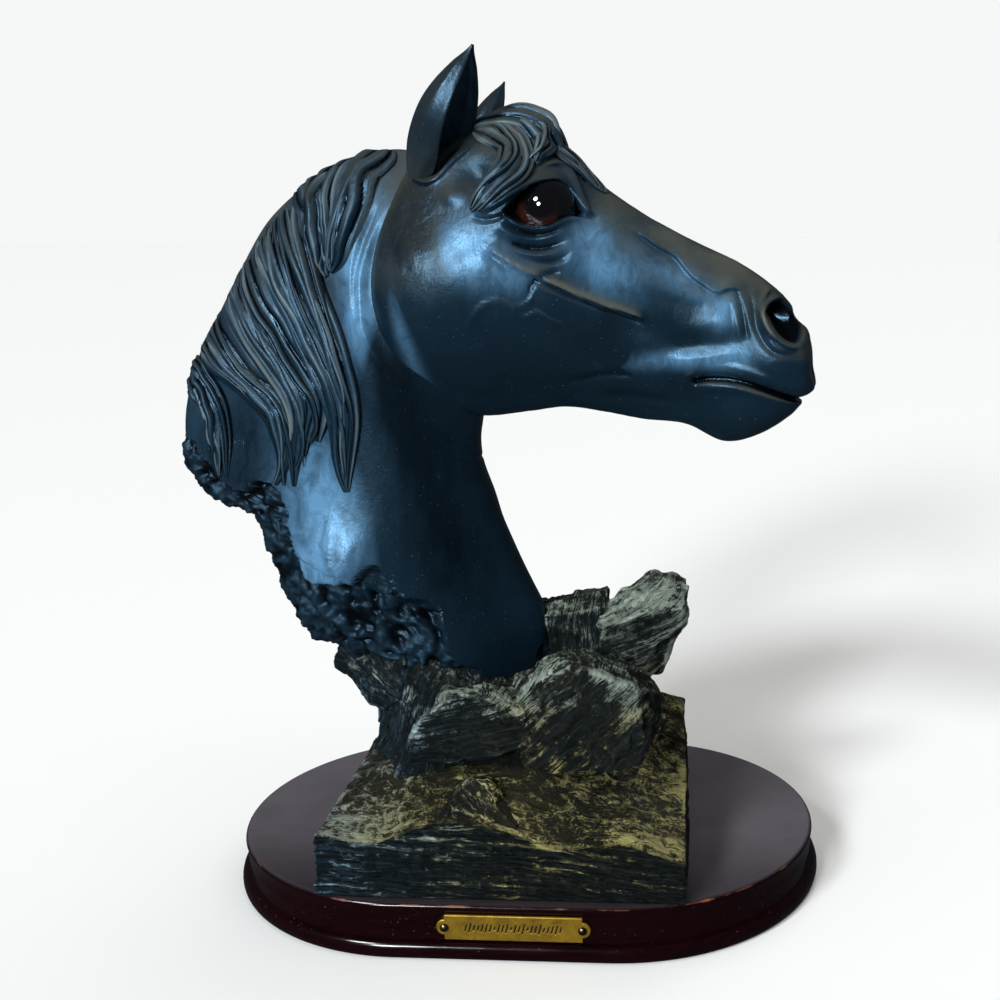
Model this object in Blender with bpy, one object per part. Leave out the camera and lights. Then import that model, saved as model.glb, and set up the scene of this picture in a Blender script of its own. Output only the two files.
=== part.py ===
"""Horse head sculpture: a cast resin horse head rising from a rock, on a lacquered wooden plinth.

The casting (head, neck, mane and rock) is one solid. It stands on an oval plinth that carries a
brass nameplate held by two round-head pins, and it has two inset glass eyes. The horse looks
along +X and its mane falls on the -Y side. Lengths are in millimetres until a mesh is made, and
z = 0 is the underside of the plinth.
"""
import itertools
import math

import bmesh
import bpy
import numpy as np

MM = 0.001

# Plinth: an oval of two half circles and two straight sides
PLINTH_LENGTH = 220.0
PLINTH_WIDTH = 147.0
PLINTH_HEIGHT = 20.0
PLINTH_EDGE_ROUND = 1.6      # rounding of the top edge
PLINTH_BAND_INSET = 0.6      # how far the flat side band stands back from the top edge
PLINTH_BEAD_HEIGHT = 6.2     # half-round bead that runs round the foot
PLINTH_BEAD_REACH = 2.2      # how far the bead stands out past the top edge
PLINTH_BEAD_FLATNESS = 0.6   # depth of the bead's curve as a share of its radius
PLINTH_FOOT_STEP = 0.4       # height of the step from the bead to the band
PLINTH_LIP_STEP = 1.4        # height of the step from the band to the top edge
PLINTH_ARC_STEPS = 18        # facets of each half circle

# Nameplate and its pins
PLATE_LENGTH = 47.5          # between the two pins
PLATE_HEIGHT = 9.2
PLATE_THICKNESS = 0.8
PLATE_LUG_RADIUS = 2.8       # rounded ends that carry the pins
PLATE_CENTRE_X = 4.7
PIN_HEAD_RADIUS = 1.5
PIN_HEAD_HEIGHT = 0.9
PIN_SHANK_RADIUS = 0.7
PIN_SHANK_LENGTH = 5.5
CLEARANCE = 0.3              # gap between pieces that touch

# Casting: the outlines below are drawn 286 units high, from a seat at height 20 to the near ear's tip
CASTING_HEIGHT = 286.0
DRAWN_HEIGHT = 286.0
DRAWN_SEAT = 20.0
CASTING_FORWARD = 1.2             # the casting stands a little forward of the plinth's middle
HEAD_TURN = math.radians(6.0)     # the head looks slightly towards the mane side
HEAD_PIVOT_X = -35.0
EYE_RADIUS = 10.8
EYE_CENTRE = (16.2, -15.6, 250.9)  # in the head's drawing, before its turn

# Head sections, from the cheek to the lips: top x, z; bottom x, z; bow forward; then half
# widths at the nose or forehead, the brow, the middle, the jaw and the underside
HEAD_STATIONS = (
    (-36.0, 264.0, -30.0, 182.0, -15.0, 0.0, 0.0, 0.0, 0.0, 0.0),
    (-35.2, 266.0, -29.0, 181.0, -14.8, 11.0, 15.0, 17.0, 16.0, 11.0),
    (-32.0, 269.5, -26.0, 179.5, -13.5, 19.0, 24.0, 26.5, 26.0, 17.0),
    (-24.0, 273.0, -20.0, 178.0, -11.0, 22.0, 27.0, 30.0, 30.0, 20.0),
    (-12.0, 279.0, -9.0, 177.6, -7.0, 22.0, 27.0, 31.0, 30.5, 18.0),
    (4.0, 281.0, 5.0, 179.3, -3.0, 20.0, 28.5, 30.0, 28.0, 15.0),
    (18.0, 271.0, 19.0, 181.0, 0.0, 19.0, 28.5, 27.0, 24.0, 12.0),
    (34.5, 257.5, 33.0, 179.2, 0.0, 16.5, 24.0, 22.5, 19.0, 11.0),
    (50.0, 247.3, 47.0, 176.8, 0.0, 13.5, 18.5, 18.5, 15.5, 10.0),
    (67.0, 238.3, 62.0, 175.3, 1.0, 12.0, 15.5, 16.5, 14.0, 10.5),
    (81.0, 231.6, 76.0, 169.3, 2.0, 11.5, 15.5, 16.5, 14.0, 12.0),
    (93.0, 223.3, 88.5, 172.2, 2.5, 11.0, 17.0, 17.5, 14.0, 11.5),
    (101.0, 214.6, 98.0, 178.0, 2.5, 9.5, 15.5, 16.0, 12.5, 9.5),
    (104.4, 208.5, 102.0, 182.0, 1.8, 7.5, 13.0, 13.5, 10.5, 8.0),
    (105.6, 203.0, 104.0, 185.0, 0.9, 5.5, 9.5, 10.0, 8.0, 6.0),
    (105.9, 199.0, 104.8, 189.0, 0.3, 0.0, 0.0, 0.0, 0.0, 0.0),
)
HEAD_SECTION_POWER = 0.72

# Neck sections, from inside the head down into the rock: crest, throat, bow and half widths
NECK_STATIONS = (
    (-20.0, 262.0, -10.0, 205.0, 0.0, 0.0, 0.0, 0.0, 0.0, 0.0),
    (-36.0, 272.0, -14.0, 188.0, 0.0, 13.0, 20.0, 23.0, 22.0, 14.0),
    (-58.0, 270.0, -14.0, 177.5, 0.0, 11.0, 19.0, 24.0, 24.0, 16.0),
    (-74.0, 261.5, -15.2, 168.0, 0.0, 10.0, 18.0, 24.0, 25.0, 17.0),
    (-90.0, 248.0, -14.2, 158.5, 0.0, 9.0, 17.0, 24.0, 25.0, 17.0),
    (-101.5, 231.0, -10.5, 147.5, 0.0, 9.0, 17.0, 24.0, 25.5, 17.0),
    (-112.0, 213.0, -7.8, 138.0, 0.0, 9.0, 17.0, 24.5, 26.0, 17.0),
    (-121.0, 197.0, -4.3, 129.0, 0.0, 9.0, 18.0, 25.0, 26.5, 17.0),
    (-126.0, 181.0, -0.4, 119.7, 0.0, 10.0, 19.0, 26.0, 27.0, 17.0),
    (-129.2, 168.0, 3.6, 111.0, 0.0, 12.0, 21.0, 27.0, 27.5, 17.0),
    (-126.0, 157.0, 6.6, 104.5, 0.0, 14.0, 23.0, 28.0, 28.0, 17.0),
    (-116.0, 146.0, 8.0, 99.0, 0.0, 16.0, 25.0, 29.0, 28.0, 17.0),
    (-102.0, 141.5, 8.5, 94.0, 0.0, 18.0, 26.0, 30.0, 28.0, 17.0),
    (-98.0, 129.0, 8.3, 88.0, 0.0, 19.0, 27.0, 31.0, 29.0, 17.0),
    (-93.0, 114.0, 6.5, 80.0, 0.0, 19.0, 27.0, 31.0, 29.0, 17.0),
    (-88.0, 101.0, 3.0, 72.0, 0.0, 17.0, 25.0, 29.0, 27.0, 15.0),
    (-80.0, 91.5, -8.0, 64.0, 0.0, 12.0, 18.0, 20.0, 18.0, 10.0),
    (-66.0, 97.0, -20.0, 57.0, 0.0, 0.0, 0.0, 0.0, 0.0, 0.0),
)
NECK_SECTION_POWER = 0.8

# Carving of the head. Each line runs in the side plane and is carved on both sides alike:
# its points, its half width, its height (a groove is negative) and how far it tapers off
HEAD_LINES = {
    "upper lid": (((-3, 249.6), (2.7, 252.4), (7.2, 255.4), (10.8, 258.0), (13.5, 259.7), (16.4, 261.0),
                   (18.4, 263.0)), 1.5, 2.8, 0.15),
    "brow": (((14, 265.5), (17.5, 267.2), (21, 267.2), (24.6, 264.3), (27.4, 259.8), (29.9, 254.8),
              (32.2, 250.6), (35.5, 246.4)), 1.7, 1.8, 0.2),
    "lower lid": (((5, 249.5), (7.6, 246.8), (11, 245), (15.7, 244.1), (20.4, 244.8), (24, 246.8),
                   (29.7, 247.6)), 1.1, 1.2, 0.2),
    "first fold under the eye": (((2.5, 247), (9, 243), (16.6, 241.6), (25.5, 243.8)), 1.0, -1.0, 0.2),
    "second fold": (((3, 243.6), (9.7, 239.8), (16.6, 238.6), (25.2, 240.4)), 1.0, -0.8, 0.2),
    "third fold": (((7, 239.5), (12.8, 237.1), (18.9, 235.4), (23.8, 237)), 1.0, -0.7, 0.2),
    "vein": (((-10.6, 211.6), (-3.8, 219.4), (1.8, 220.4), (6.7, 218.7), (7.2, 215), (11.9, 215),
              (14.7, 215.7), (19.8, 212), (26.4, 211.3)), 1.1, 1.0, 0.15),
    "nasal muscle": (((49, 233), (62.5, 227), (74.3, 223), (82.7, 220.3)), 3.0, 1.0, 0.3),
    "muzzle fold": (((80.9, 223.6), (83.3, 218.6), (85.3, 211.9), (86.7, 206.9)), 1.2, -1.1, 0.2),
    "nostril fold": (((87, 221.5), (89.3, 213.5), (92.7, 206.1), (97.7, 203)), 1.5, 1.2, 0.2),
    "mouth": (((65, 191.6), (70.5, 192.9), (77.3, 193.0), (83.3, 192.0), (89.4, 189.9), (95.4, 187.6),
               (101.9, 185.3), (112, 184.2)), 1.2, -2.8, 0.06),
    "lip edge": (((68, 196.5), (76, 197.2), (85, 194.8), (94, 191.6), (104, 188.6), (112, 187.5)),
                 1.8, 0.9, 0.1),
}
# Broad forms of the head: centre x, z; radii; height; turn in degrees
HEAD_SWELLINGS = {
    "eye socket rim": (15.0, 251.0, 17.0, 12.0, 2.2, -10),
    "temple hollow": (-5.5, 261.0, 6.5, 5.0, -2.6, -30),
    "temple knob": (-2.0, 254.5, 4.0, 3.0, 1.2, 0),
    "cheek muscle": (-17.0, 215.0, 23.0, 27.0, 1.6, 0),
    "cheek front hollow": (38.0, 203.0, 12.0, 13.0, -2.0, 20),
    "hollow under the crest": (48.0, 214.0, 14.0, 7.0, -1.4, -20),
    "chin": (84.0, 178.0, 9.0, 7.0, 1.2, 0),
    "chin groove": (64.0, 184.0, 8.0, 6.0, -1.0, 0),
    "upper lip": (95.0, 197.0, 9.0, 7.0, 1.0, -10),
    "lip tip": (108.0, 190.0, 6.0, 3.4, 2.2, 0),
}
FACIAL_CREST = ((-2, 239), (7.2, 233.8), (17.1, 228.1), (27.7, 222.3), (39, 217))
EYE_OPENING = ((4.4, 250.4), (7.4, 253.8), (10.8, 256.6), (13.6, 258.5), (16.6, 259.8), (18.6, 261.8),
               (20.6, 263.2), (22.8, 262.2), (25.3, 258.6), (27.6, 254.6), (29.6, 251.0), (31.0, 248.7),
               (28.4, 248.5), (26.0, 248.8), (23.6, 247.8), (20.1, 245.9), (15.7, 245.3), (11.3, 246.2),
               (7.9, 247.7), (5.4, 249.1))
EYE_OPENING_DEPTH = 6.0
NOSTRIL = (97.6, 211.7, 6.0, 7.8, 22)        # centre x, z; radii; turn in degrees
NOSTRIL_DEPTH = 6.5
NOSTRIL_RIM = 1.9

# The broken lower edge of the neck on the mane side, and the break under the crest
NECK_BREAK = ((-98, 132), (-84, 126.5), (-69.4, 118.6), (-59.9, 121.4), (-50.2, 127.1), (-43.4, 116.5),
              (-28.7, 112.1), (-25.6, 96.8), (-16.7, 87.2), (-7.7, 79), (1.6, 78), (12, 99))
CREST_BREAK = ((-134, 176), (-122, 166), (-113, 157), (-103, 152), (-95, 155), (-87, 153), (-82, 140))
BREAK_DEPTH = 5.0
BREAK_ROUGHNESS = 2.4
# Broad forms of the neck, given like those of the head
NECK_SWELLINGS = {
    "foot of the satin patch": (-66.0, 124.0, 20.0, 17.0, 4.2, 25),
    "strip behind the cheek": (-52.0, 215.0, 7.0, 34.0, 1.6, 8),
    "hollow under the mane": (-98.0, 172.0, 11.0, 15.0, -2.0, 0),
}
NECK_HOLLOW = ((-40, 192), (-30, 165), (-20, 130), (-14, 105))
NECK_HOLLOW_WIDTH = 9.0
NECK_HOLLOW_DEPTH = 1.2
THROAT_CREASES = (168.0, 163.0, 158.0)       # heights of three creases under the jaw
THROAT_CREASE_WIDTH = 0.9
THROAT_CREASE_DEPTH = 0.9

# Mane: each group of locks fills the strip between a rear and a front strand. The rough y of a
# point only says which side of the neck it lies on, and the lock is then laid on the neck. After the
# strands come the count, half width and height of the locks, and the share that is a flat root
MANE_GROUPS = {
    "behind_ear": (((-77, 0, 262.6), (-76, -8, 252.4), (-71.3, -17, 240.6), (-65.6, -22, 230.3)),
                   ((-40, -3, 274.5), (-46.9, -12, 266.7), (-51, -18, 257.7), (-56.4, -20, 243.8),
                    (-62.6, -22, 230.7)), 6, 5.4, 4.4, 0.4),
    "upper": (((-95, 1, 241.5), (-92.7, -7, 233), (-85.5, -15, 221.3), (-77.1, -19, 208.7),
               (-69.2, -21, 199.4), (-62.6, -23, 189.3), (-61.5, -23, 174.6), (-60.5, -23, 155)),
              ((-78.3, 1, 260.1), (-75, -9, 248.1), (-70.3, -16, 233.1), (-64, -20, 218), (-60.8, -22, 204.6),
               (-56.9, -23, 191.8), (-56, -24, 179), (-57.9, -24, 153)),
              5, 5.2, 4.8, 0.3),
    "middle": (((-108.5, 1, 220.5), (-105, -7, 213), (-98, -14, 202.4), (-89.2, -18, 192.3),
                (-82.6, -21, 183.9), (-80.3, -22, 173.6), (-81.7, -22, 154)),
               ((-96.9, 1, 239.8), (-92.4, -9, 227.9), (-83.8, -16, 216.2), (-76.6, -19, 204.4),
                (-69.3, -22, 193.5), (-65.2, -23, 185), (-70, -23, 173)),
               4, 5.0, 4.8, 0.3),
    "lower": (((-121.5, 1, 201.5), (-115, -6, 198.1), (-105.5, -13, 190.9), (-94.6, -17, 185.2),
               (-86, -20, 178.5), (-84.7, -21, 167.2), (-86.4, -21, 156)),
              ((-110, 1, 218.8), (-106.2, -7, 210.5), (-98.2, -14, 199.7), (-89.4, -18, 190.5),
               (-80.9, -21, 183), (-77.5, -22, 173), (-80, -22, 154.5)),
              4, 4.6, 4.4, 0.3),
    "last": (((-125.5, 0, 188), (-121.6, -5, 184), (-117.3, -9, 177), (-114.3, -12, 165.7), (-112, -13, 156)),
             ((-121.5, 1, 201.5), (-116.3, -7, 197), (-110.8, -11, 190.7), (-107.8, -13, 179.3),
              (-110, -14, 156)),
             3, 3.8, 3.6, 0.3),
    "far_side_roots": (((-112, 3, 206), (-108, 10, 196), (-102, 15, 184)),
                       ((-44, 3, 269), (-46, 14, 258), (-50, 20, 243)),
                       13, 5.6, 3.2, 0.1),
}
# Forelock: groups laid on the head in the same way, in the head's drawing
FORELOCK_GROUPS = {
    "over_temple": (((-10.9, -8, 277.7), (-2.7, -13, 274), (3, -18, 270), (-0.3, -21, 264.2),
                     (-3.1, -22, 256.4), (-6.1, -23, 250.1)),
                    ((-4.1, -5, 281.9), (3.6, -11, 278.2), (9, -15, 273.6), (12, -18, 267.5),
                     (9, -20, 260.5), (1, -22, 254), (-5.5, -22.5, 250.3)),
                    3, 3.5, 3.4, 0.4),
    "over_brow": (((2, -6, 281.5), (8, -10, 278), (12, -14, 273), (12.3, -16, 268.5), (11.8, -17, 265.5)),
                  ((7, -4, 282), (12.4, -8, 278.5), (16.1, -11, 273.5), (14.7, -14, 268.8), (12.6, -16, 265)),
                  2, 3.0, 4.6, 0.3),
    "crown": (((-14, -3, 280), (-4, -5, 281), (6, -6, 281), (14, -8, 275.5), (19.5, -9, 270)),
              ((-14, 5, 280), (-4, 5, 282), (7, 4, 281.5), (15, 3, 275), (20.5, 2, 269.5)),
              4, 4.0, 8.0, 1.0),
    "down_forehead": (((4, -6, 281), (14, -8, 275), (20, -9.5, 269.5), (28, -10, 262.5), (35, -9.5, 257.5)),
                      ((5, 3, 281.5), (15, 2, 275.5), (21, 1, 269), (29, -3, 262.5), (35.5, -7, 257)),
                      3, 3.6, 2.4, 0.2),
    "far_side": (((-14, 12, 279), (-2, 16, 277), (8, 20, 269), (10, 22, 259)),
                 ((-8, 5, 281), (6, 7, 280), (14, 12, 271), (18, 16, 262)),
                 4, 4.4, 4.0, 1.0),
}

# Ears: base centre, tip, widest radius and direction of the opening
EARS = {
    "near": ((-33.0, -13.0, 256.0), (-6.7, -20.2, 306.0), 10.2, (0.95, -0.30, -0.05)),
    "far": ((-22.5, 15.0, 260.0), (-6.2, 19.0, 296.4), 7.6, (0.95, 0.30, -0.05)),
}
EAR_WALL = 2.6

# Rock: corners of each stone, x, y, z
STONES = {
    "left_block": ((-75, -6, 81), (-72, -8, 90), (-64, -10, 97), (-51, -24, 70), (-42, -32, 78),
                   (-40, -28, 96), (-73, 16, 82), (-62, 22, 68), (-32, 30, 100), (-40, 34, 70)),
    "front_wedge": ((-35.5, -49, 69.5), (-34, -51, 61), (-21, -45, 84), (4, -43, 81.5), (6, -47, 75),
                    (1, -51, 67), (-16, -53, 64), (6, -20, 84), (-30, -20, 80), (-10, -20, 58)),
    "column": ((-56, -12, 66), (-59, -10, 48), (-40, -33, 94), (-26, -34, 90), (-38, -38, 70), (8, -25, 75),
               (9, -40, 58), (-42, -42, 48), (-50, 28, 94), (-56, 34, 44), (10, 28, 99), (14, 38, 46)),
    "front_boulder": ((2, -44, 76), (4, -53, 63), (1, -36, 86), (11, -26, 93), (18, -34, 95.5),
                      (24, -12, 91), (32, -14, 90), (50, -16, 80), (54, -26, 78), (52, -40, 68),
                      (46, -48, 60), (32, -54, 60), (16, -56, 60), (26.5, -48, 95), (45, -47, 89),
                      (20, -10, 62)),
    "split_block": ((6, 2, 102), (30, 4, 109), (30, -3, 104), (30, -4, 84), (6, -4, 84), (6, -3, 100),
                    (30, 24, 104), (6, 24, 99), (6, 26, 70), (28, 24, 70)),
    "right_wedge": ((29, 2, 103), (47, 22, 113), (60, 18, 110), (62, 0, 109), (59, -7, 105), (30, -7, 98.5),
                    (61, 0, 98), (52, 0, 77), (42, -6, 79), (28, -6, 84), (54, 24, 90), (34, 26, 88)),
    "back_boulder": ((-44, 28, 84), (-20, 26, 92), (6, 30, 84), (18, 44, 70), (12, 50, 46), (-22, 54, 44),
                     (-46, 46, 46), (-20, 46, 74)),
    "ridge_stone": ((-26, -66, 44), (-19, -62, 51), (-13, -54, 57), (-9, -56, 55), (5, -68, 45),
                    (8, -58, 45), (-6, -46, 54), (-22, -48, 52)),
}
STONE_ROUGHNESS = 1.1
# Slab under the stones: outline corners, and heights in rows from the front to the back
SLAB_OUTLINE = ((-65, -70), (62, -70), (61, -20), (58, 46), (48, 52), (-44, 52), (-58, 40), (-62, -14))
SLAB_CENTRE = (0.0, -10.0)
SLAB_ROWS_Y = (-70.0, 52.0)
SLAB_COLUMNS_X = (-65.0, 62.0)
SLAB_HEIGHTS = (
    (42.0, 40.0, 47.5, 46.0, 39.5, 41.0, 34.5),
    (44.0, 50.0, 55.0, 56.0, 50.0, 44.0, 38.0),
    (46.0, 58.0, 66.0, 68.0, 62.0, 51.0, 43.0),
    (47.0, 60.0, 68.0, 70.0, 64.0, 55.0, 49.0),
    (42.0, 47.0, 52.0, 55.0, 53.0, 51.0, 50.0),
)
SLAB_SIDE_SHARE = 0.36       # share of the slab's rows that climb its side
SLAB_SINK = 3.0              # how far the slab is drawn below the seat that it is cut to
SLAB_TOP_ROUGHNESS = 1.5
STRATA_DEPTH = 0.9
STRATA_SPACING = 4.6

VOXEL_SIZE = 1.55
CASTING_TRIANGLES = 7000
SEAT_CUTTER_DEPTH = 30.0


# Curves, noise and meshes

def spline_weights(parameters, knots):
    """Catmull-Rom weights: a row for each parameter from 0 to 1, a column for each knot."""
    position = np.clip(np.asarray(parameters, float), 0, 1) * (knots - 1)
    start = np.minimum(position.astype(int), knots - 2)
    f = position - start
    shares = ((-f + 2 * f**2 - f**3) / 2, (2 - 5 * f**2 + 3 * f**3) / 2,
              (f + 4 * f**2 - 3 * f**3) / 2, (f**3 - f**2) / 2)
    weights = np.zeros((len(f), knots))
    for offset, share in zip((-1, 0, 1, 2), shares):
        np.add.at(weights, (np.arange(len(f)), np.clip(start + offset, 0, knots - 1)), share)
    return weights


def curve(points, count):
    """A smooth curve through the points, sampled evenly in its parameter."""
    points = np.array(points, float)
    return spline_weights(np.linspace(0, 1, count), len(points)) @ points


def smooth_step(low, high, value):
    """0 below low, 1 above high, and smooth between."""
    share = np.clip((value - low) / (high - low), 0, 1)
    return share * share * (3 - 2 * share)


def noise(points, size, seed):
    """Smooth lattice noise from -1 to 1 with lumps of about the given size."""
    cell = points / size
    base = np.floor(cell).astype(np.int64)
    f = cell - base
    f = f * f * (3 - 2 * f)
    total = np.zeros(points.shape[:-1])
    for corner in itertools.product((0, 1), repeat=3):
        spot = base + np.array(corner)
        code = spot[..., 0] * 374761393 + spot[..., 1] * 668265263 + spot[..., 2] * 1440662683
        code = (code + seed * 69069) & 0x7FFFFFFF
        code = ((code ^ (code >> 13)) * 1274126177) & 0x7FFFFFFF
        value = ((code ^ (code >> 16)) & 0xFFFF) / 32767.5 - 1
        total += value * np.prod(np.where(corner, f, 1 - f), axis=-1)
    return total


def line_distance(x, z, line, steps=28):
    """Distance to a smooth line in the side plane, the side it is on, and how far along."""
    path = curve(line, steps)
    best = np.full(x.shape, 1e9)
    side = np.zeros(x.shape)
    along = np.zeros(x.shape)
    for index in range(steps - 1):
        start, step = path[index], path[index + 1] - path[index]
        share = ((x - start[0]) * step[0] + (z - start[1]) * step[1]) / (step @ step)
        share = np.clip(share, 0, 1)
        across_x = x - start[0] - share * step[0]
        across_z = z - start[1] - share * step[1]
        distance = np.hypot(across_x, across_z)
        nearer = distance < best
        best = np.where(nearer, distance, best)
        side = np.where(nearer, np.sign(step[0] * across_z - step[1] * across_x), side)
        along = np.where(nearer, (index + share) / (steps - 1), along)
    return best, side, along


def carve_line(x, z, line, half_width, height, taper):
    """A ridge (or a groove, where height is negative) that follows a line and tapers off."""
    distance, _, along = line_distance(x, z, line)
    fade = smooth_step(0, taper, along) * smooth_step(0, taper, 1 - along)
    return height * fade * np.exp(-(distance / half_width) ** 2)


def swelling(x, z, centre_x, centre_z, radius_x, radius_z, height, degrees):
    """A soft bump or hollow with an oval outline."""
    c, s = math.cos(math.radians(degrees)), math.sin(math.radians(degrees))
    across = ((x - centre_x) * c + (z - centre_z) * s) / radius_x
    up = (-(x - centre_x) * s + (z - centre_z) * c) / radius_z
    return height * np.exp(-(across**2 + up**2))


def inside_ring(x, z, ring):
    """Signed distance into a smooth closed ring in the side plane, positive inside it."""
    closed = curve(tuple(ring) + (ring[0],), 4 * len(ring) + 1)
    distance, _, _ = line_distance(x, z, closed, steps=len(closed))
    crossings = np.zeros(x.shape, int)
    for start, end in zip(closed[:-1], closed[1:]):
        spans = (start[1] > z) != (end[1] > z)
        rise = end[1] - start[1] if end[1] != start[1] else 1e-9
        crossings += spans & (x < start[0] + (z - start[1]) / rise * (end[0] - start[0]))
    return np.where(crossings % 2 == 1, distance, -distance)


def grid_normals(points):
    """Outward normals of a grid whose columns run round a closed section."""
    along = np.gradient(points, axis=0)
    around = np.roll(points, -1, axis=1) - np.roll(points, 1, axis=1)
    normals = np.cross(around, along)
    normals /= np.linalg.norm(normals, axis=2, keepdims=True) + 1e-9
    outward = np.sum(normals * (points - points.mean(axis=1, keepdims=True)))
    return normals if outward > 0 else -normals


def closed_tube(mesh, points):
    """Add a grid to the mesh as a closed body: rows of faces and a cap at each end."""
    rows, columns, _ = points.shape
    rings = [[mesh.verts.new(point) for point in row] for row in points]
    for lower, upper in zip(rings[:-1], rings[1:]):
        for here in range(columns):
            there = (here + 1) % columns
            mesh.faces.new((lower[here], lower[there], upper[there], upper[here]))
    mesh.faces.new(rings[0][::-1])
    mesh.faces.new(rings[-1])


# Surfaces of the casting, in its drawing

def section_surface(stations, rows, columns, power):
    """Sections swept between two side-plane edges, the near half (-Y) first round each ring."""
    table = spline_weights(np.linspace(0, 1, rows), len(stations)) @ np.array(stations)
    angle = np.linspace(0, 2 * math.pi, columns, endpoint=False)
    down = (1 - np.cos(angle)) / 2
    across = np.sign(np.sin(angle)) * np.abs(np.sin(angle)) ** power
    half_width = table[:, 5:10] @ spline_weights(down, 5).T
    chord = table[:, 2:4] - table[:, 0:2]
    forward = np.stack((-chord[:, 1], chord[:, 0]), axis=1)
    forward /= np.linalg.norm(forward, axis=1, keepdims=True)
    bow = table[:, 4:5] * 4 * down * (1 - down)
    spot = table[:, None, 0:2] + chord[:, None] * down[None, :, None]
    spot = spot + forward[:, None] * bow[:, :, None]
    return np.stack((spot[..., 0], -half_width * across, spot[..., 1]), axis=-1)


def head_relief(points):
    """How far the carving moves each point of the plain head outward."""
    x, z = points[..., 0], points[..., 2]
    relief = sum(carve_line(x, z, *line) for line in HEAD_LINES.values())
    relief = relief + sum(swelling(x, z, *form) for form in HEAD_SWELLINGS.values())
    distance, side, along = line_distance(x, z, FACIAL_CREST)
    fade = smooth_step(0, 0.25, along) * smooth_step(0, 0.2, 1 - along)
    relief = relief + fade * np.where(side > 0, 1.4 * np.exp(-distance / 5), -1.6 * np.exp(-distance / 3))
    relief = relief - EYE_OPENING_DEPTH * smooth_step(-0.6, 0.8, inside_ring(x, z, EYE_OPENING))
    return relief + nostril_relief(x, z)


def nostril_relief(x, z):
    """A deep oval hole with a proud rim."""
    centre_x, centre_z, radius_x, radius_z, degrees = NOSTRIL
    c, s = math.cos(math.radians(degrees)), math.sin(math.radians(degrees))
    across = ((x - centre_x) * c + (z - centre_z) * s) / radius_x
    up = (-(x - centre_x) * s + (z - centre_z) * c) / radius_z
    reach = np.hypot(across, up)
    rim = NOSTRIL_RIM * np.exp(-((reach - 1.15) / 0.28) ** 2)
    return rim - NOSTRIL_DEPTH * (1 - smooth_step(0.45, 1.0, reach))


def head_surface(rows, columns):
    """The head, moved level and outward by its carving, before its turn."""
    points = section_surface(HEAD_STATIONS, rows, columns, HEAD_SECTION_POWER)
    relief = head_relief(points) * np.maximum(smooth_step(2, 8, np.abs(points[..., 1])),
                                              smooth_step(98, 104, points[..., 0]))
    level = grid_normals(points) * (1, 1, 0)
    reach = np.linalg.norm(level, axis=-1, keepdims=True)
    level = level / (reach + 1e-9) * smooth_step(0.1, 0.5, reach)
    return points + level * relief[..., None]


def neck_surface(rows, columns):
    """The neck, with its broken lower edge set back and rough."""
    points = section_surface(NECK_STATIONS, rows, columns, NECK_SECTION_POWER)
    x, z = points[..., 0], points[..., 2]
    broken = np.zeros(x.shape)
    for line in (NECK_BREAK, CREST_BREAK):
        distance, side, _ = line_distance(x, z, line)
        broken = np.maximum(broken, smooth_step(-0.6, 0.8, np.where(side < 0, distance, -distance)))
    rough = noise(points, 7.0, 3) + 0.6 * noise(points, 3.4, 4)
    inward = smooth_step(2.0, 14.0, np.abs(points[..., 1]))
    relief = broken * (BREAK_ROUGHNESS * rough * (0.35 + 0.65 * inward) - BREAK_DEPTH * inward)
    relief = relief + sum(swelling(x, z, *form) for form in NECK_SWELLINGS.values()) * (1 - 0.6 * broken)
    relief = relief + carve_line(x, z, NECK_HOLLOW, NECK_HOLLOW_WIDTH, -NECK_HOLLOW_DEPTH, 0.3)
    for height in THROAT_CREASES:
        crease = ((-27, height + 2.5), (-20, height), (-8, height - 3.5))
        relief = relief + carve_line(x, z, crease, THROAT_CREASE_WIDTH, -THROAT_CREASE_DEPTH, 0.3)
    return points + grid_normals(points) * relief[..., None]


def turn_head(points):
    """Turn the head's drawing about the vertical through the pivot, towards the mane side."""
    x, y = points[..., 0] - HEAD_PIVOT_X, points[..., 1]
    c, s = math.cos(HEAD_TURN), math.sin(HEAD_TURN)
    return np.stack((HEAD_PIVOT_X + x * c + y * s, y * c - x * s, points[..., 2]), axis=-1)


def lay_on(surface, normals, path):
    """The nearest place on a surface to each point of a path, and the outward normal there."""
    spots = surface.reshape(-1, 3)
    offset = (path[:, None] - spots[None]) * np.array((1.0, 0.45, 1.0))
    nearest = np.argmin((offset**2).sum(axis=2), axis=1)
    return spots[nearest], normals.reshape(-1, 3)[nearest]


def soften(values, passes):
    """Even out a path by averaging each inner point with its neighbours."""
    for _ in range(passes):
        values[1:-1] = (values[:-2] + 2 * values[1:-1] + values[2:]) / 4
    return values


def lock_surface(surface, normals, path, half_width, height, root, rows=26, columns=12):
    """A lock of hair: an oval swept along a path laid on a surface, flatter over its root."""
    spots, outward = lay_on(surface, normals, curve(path, rows))
    spots, outward = soften(spots, 3), soften(outward, 3)
    along = np.linspace(0, 1, rows)
    tangent = np.gradient(spots, axis=0)
    tangent /= np.linalg.norm(tangent, axis=1, keepdims=True)
    side = np.cross(outward, tangent)
    side /= np.linalg.norm(side, axis=1, keepdims=True)
    taper = np.sqrt(smooth_step(-0.02, 0.14, along)) * np.sqrt(smooth_step(-0.05, 0.4, 1 - along))
    angle = np.linspace(0, 2 * math.pi, columns, endpoint=False)
    rooted = smooth_step(0, root, along)[:, None]
    across = half_width * (1.25 - 0.25 * rooted) * taper[:, None] * np.cos(angle)
    up = height * taper[:, None] * np.sin(angle) * (0.3 + 0.7 * rooted)
    return spots[:, None] + side[:, None] * across[..., None] + outward[:, None] * up[..., None]


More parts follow.
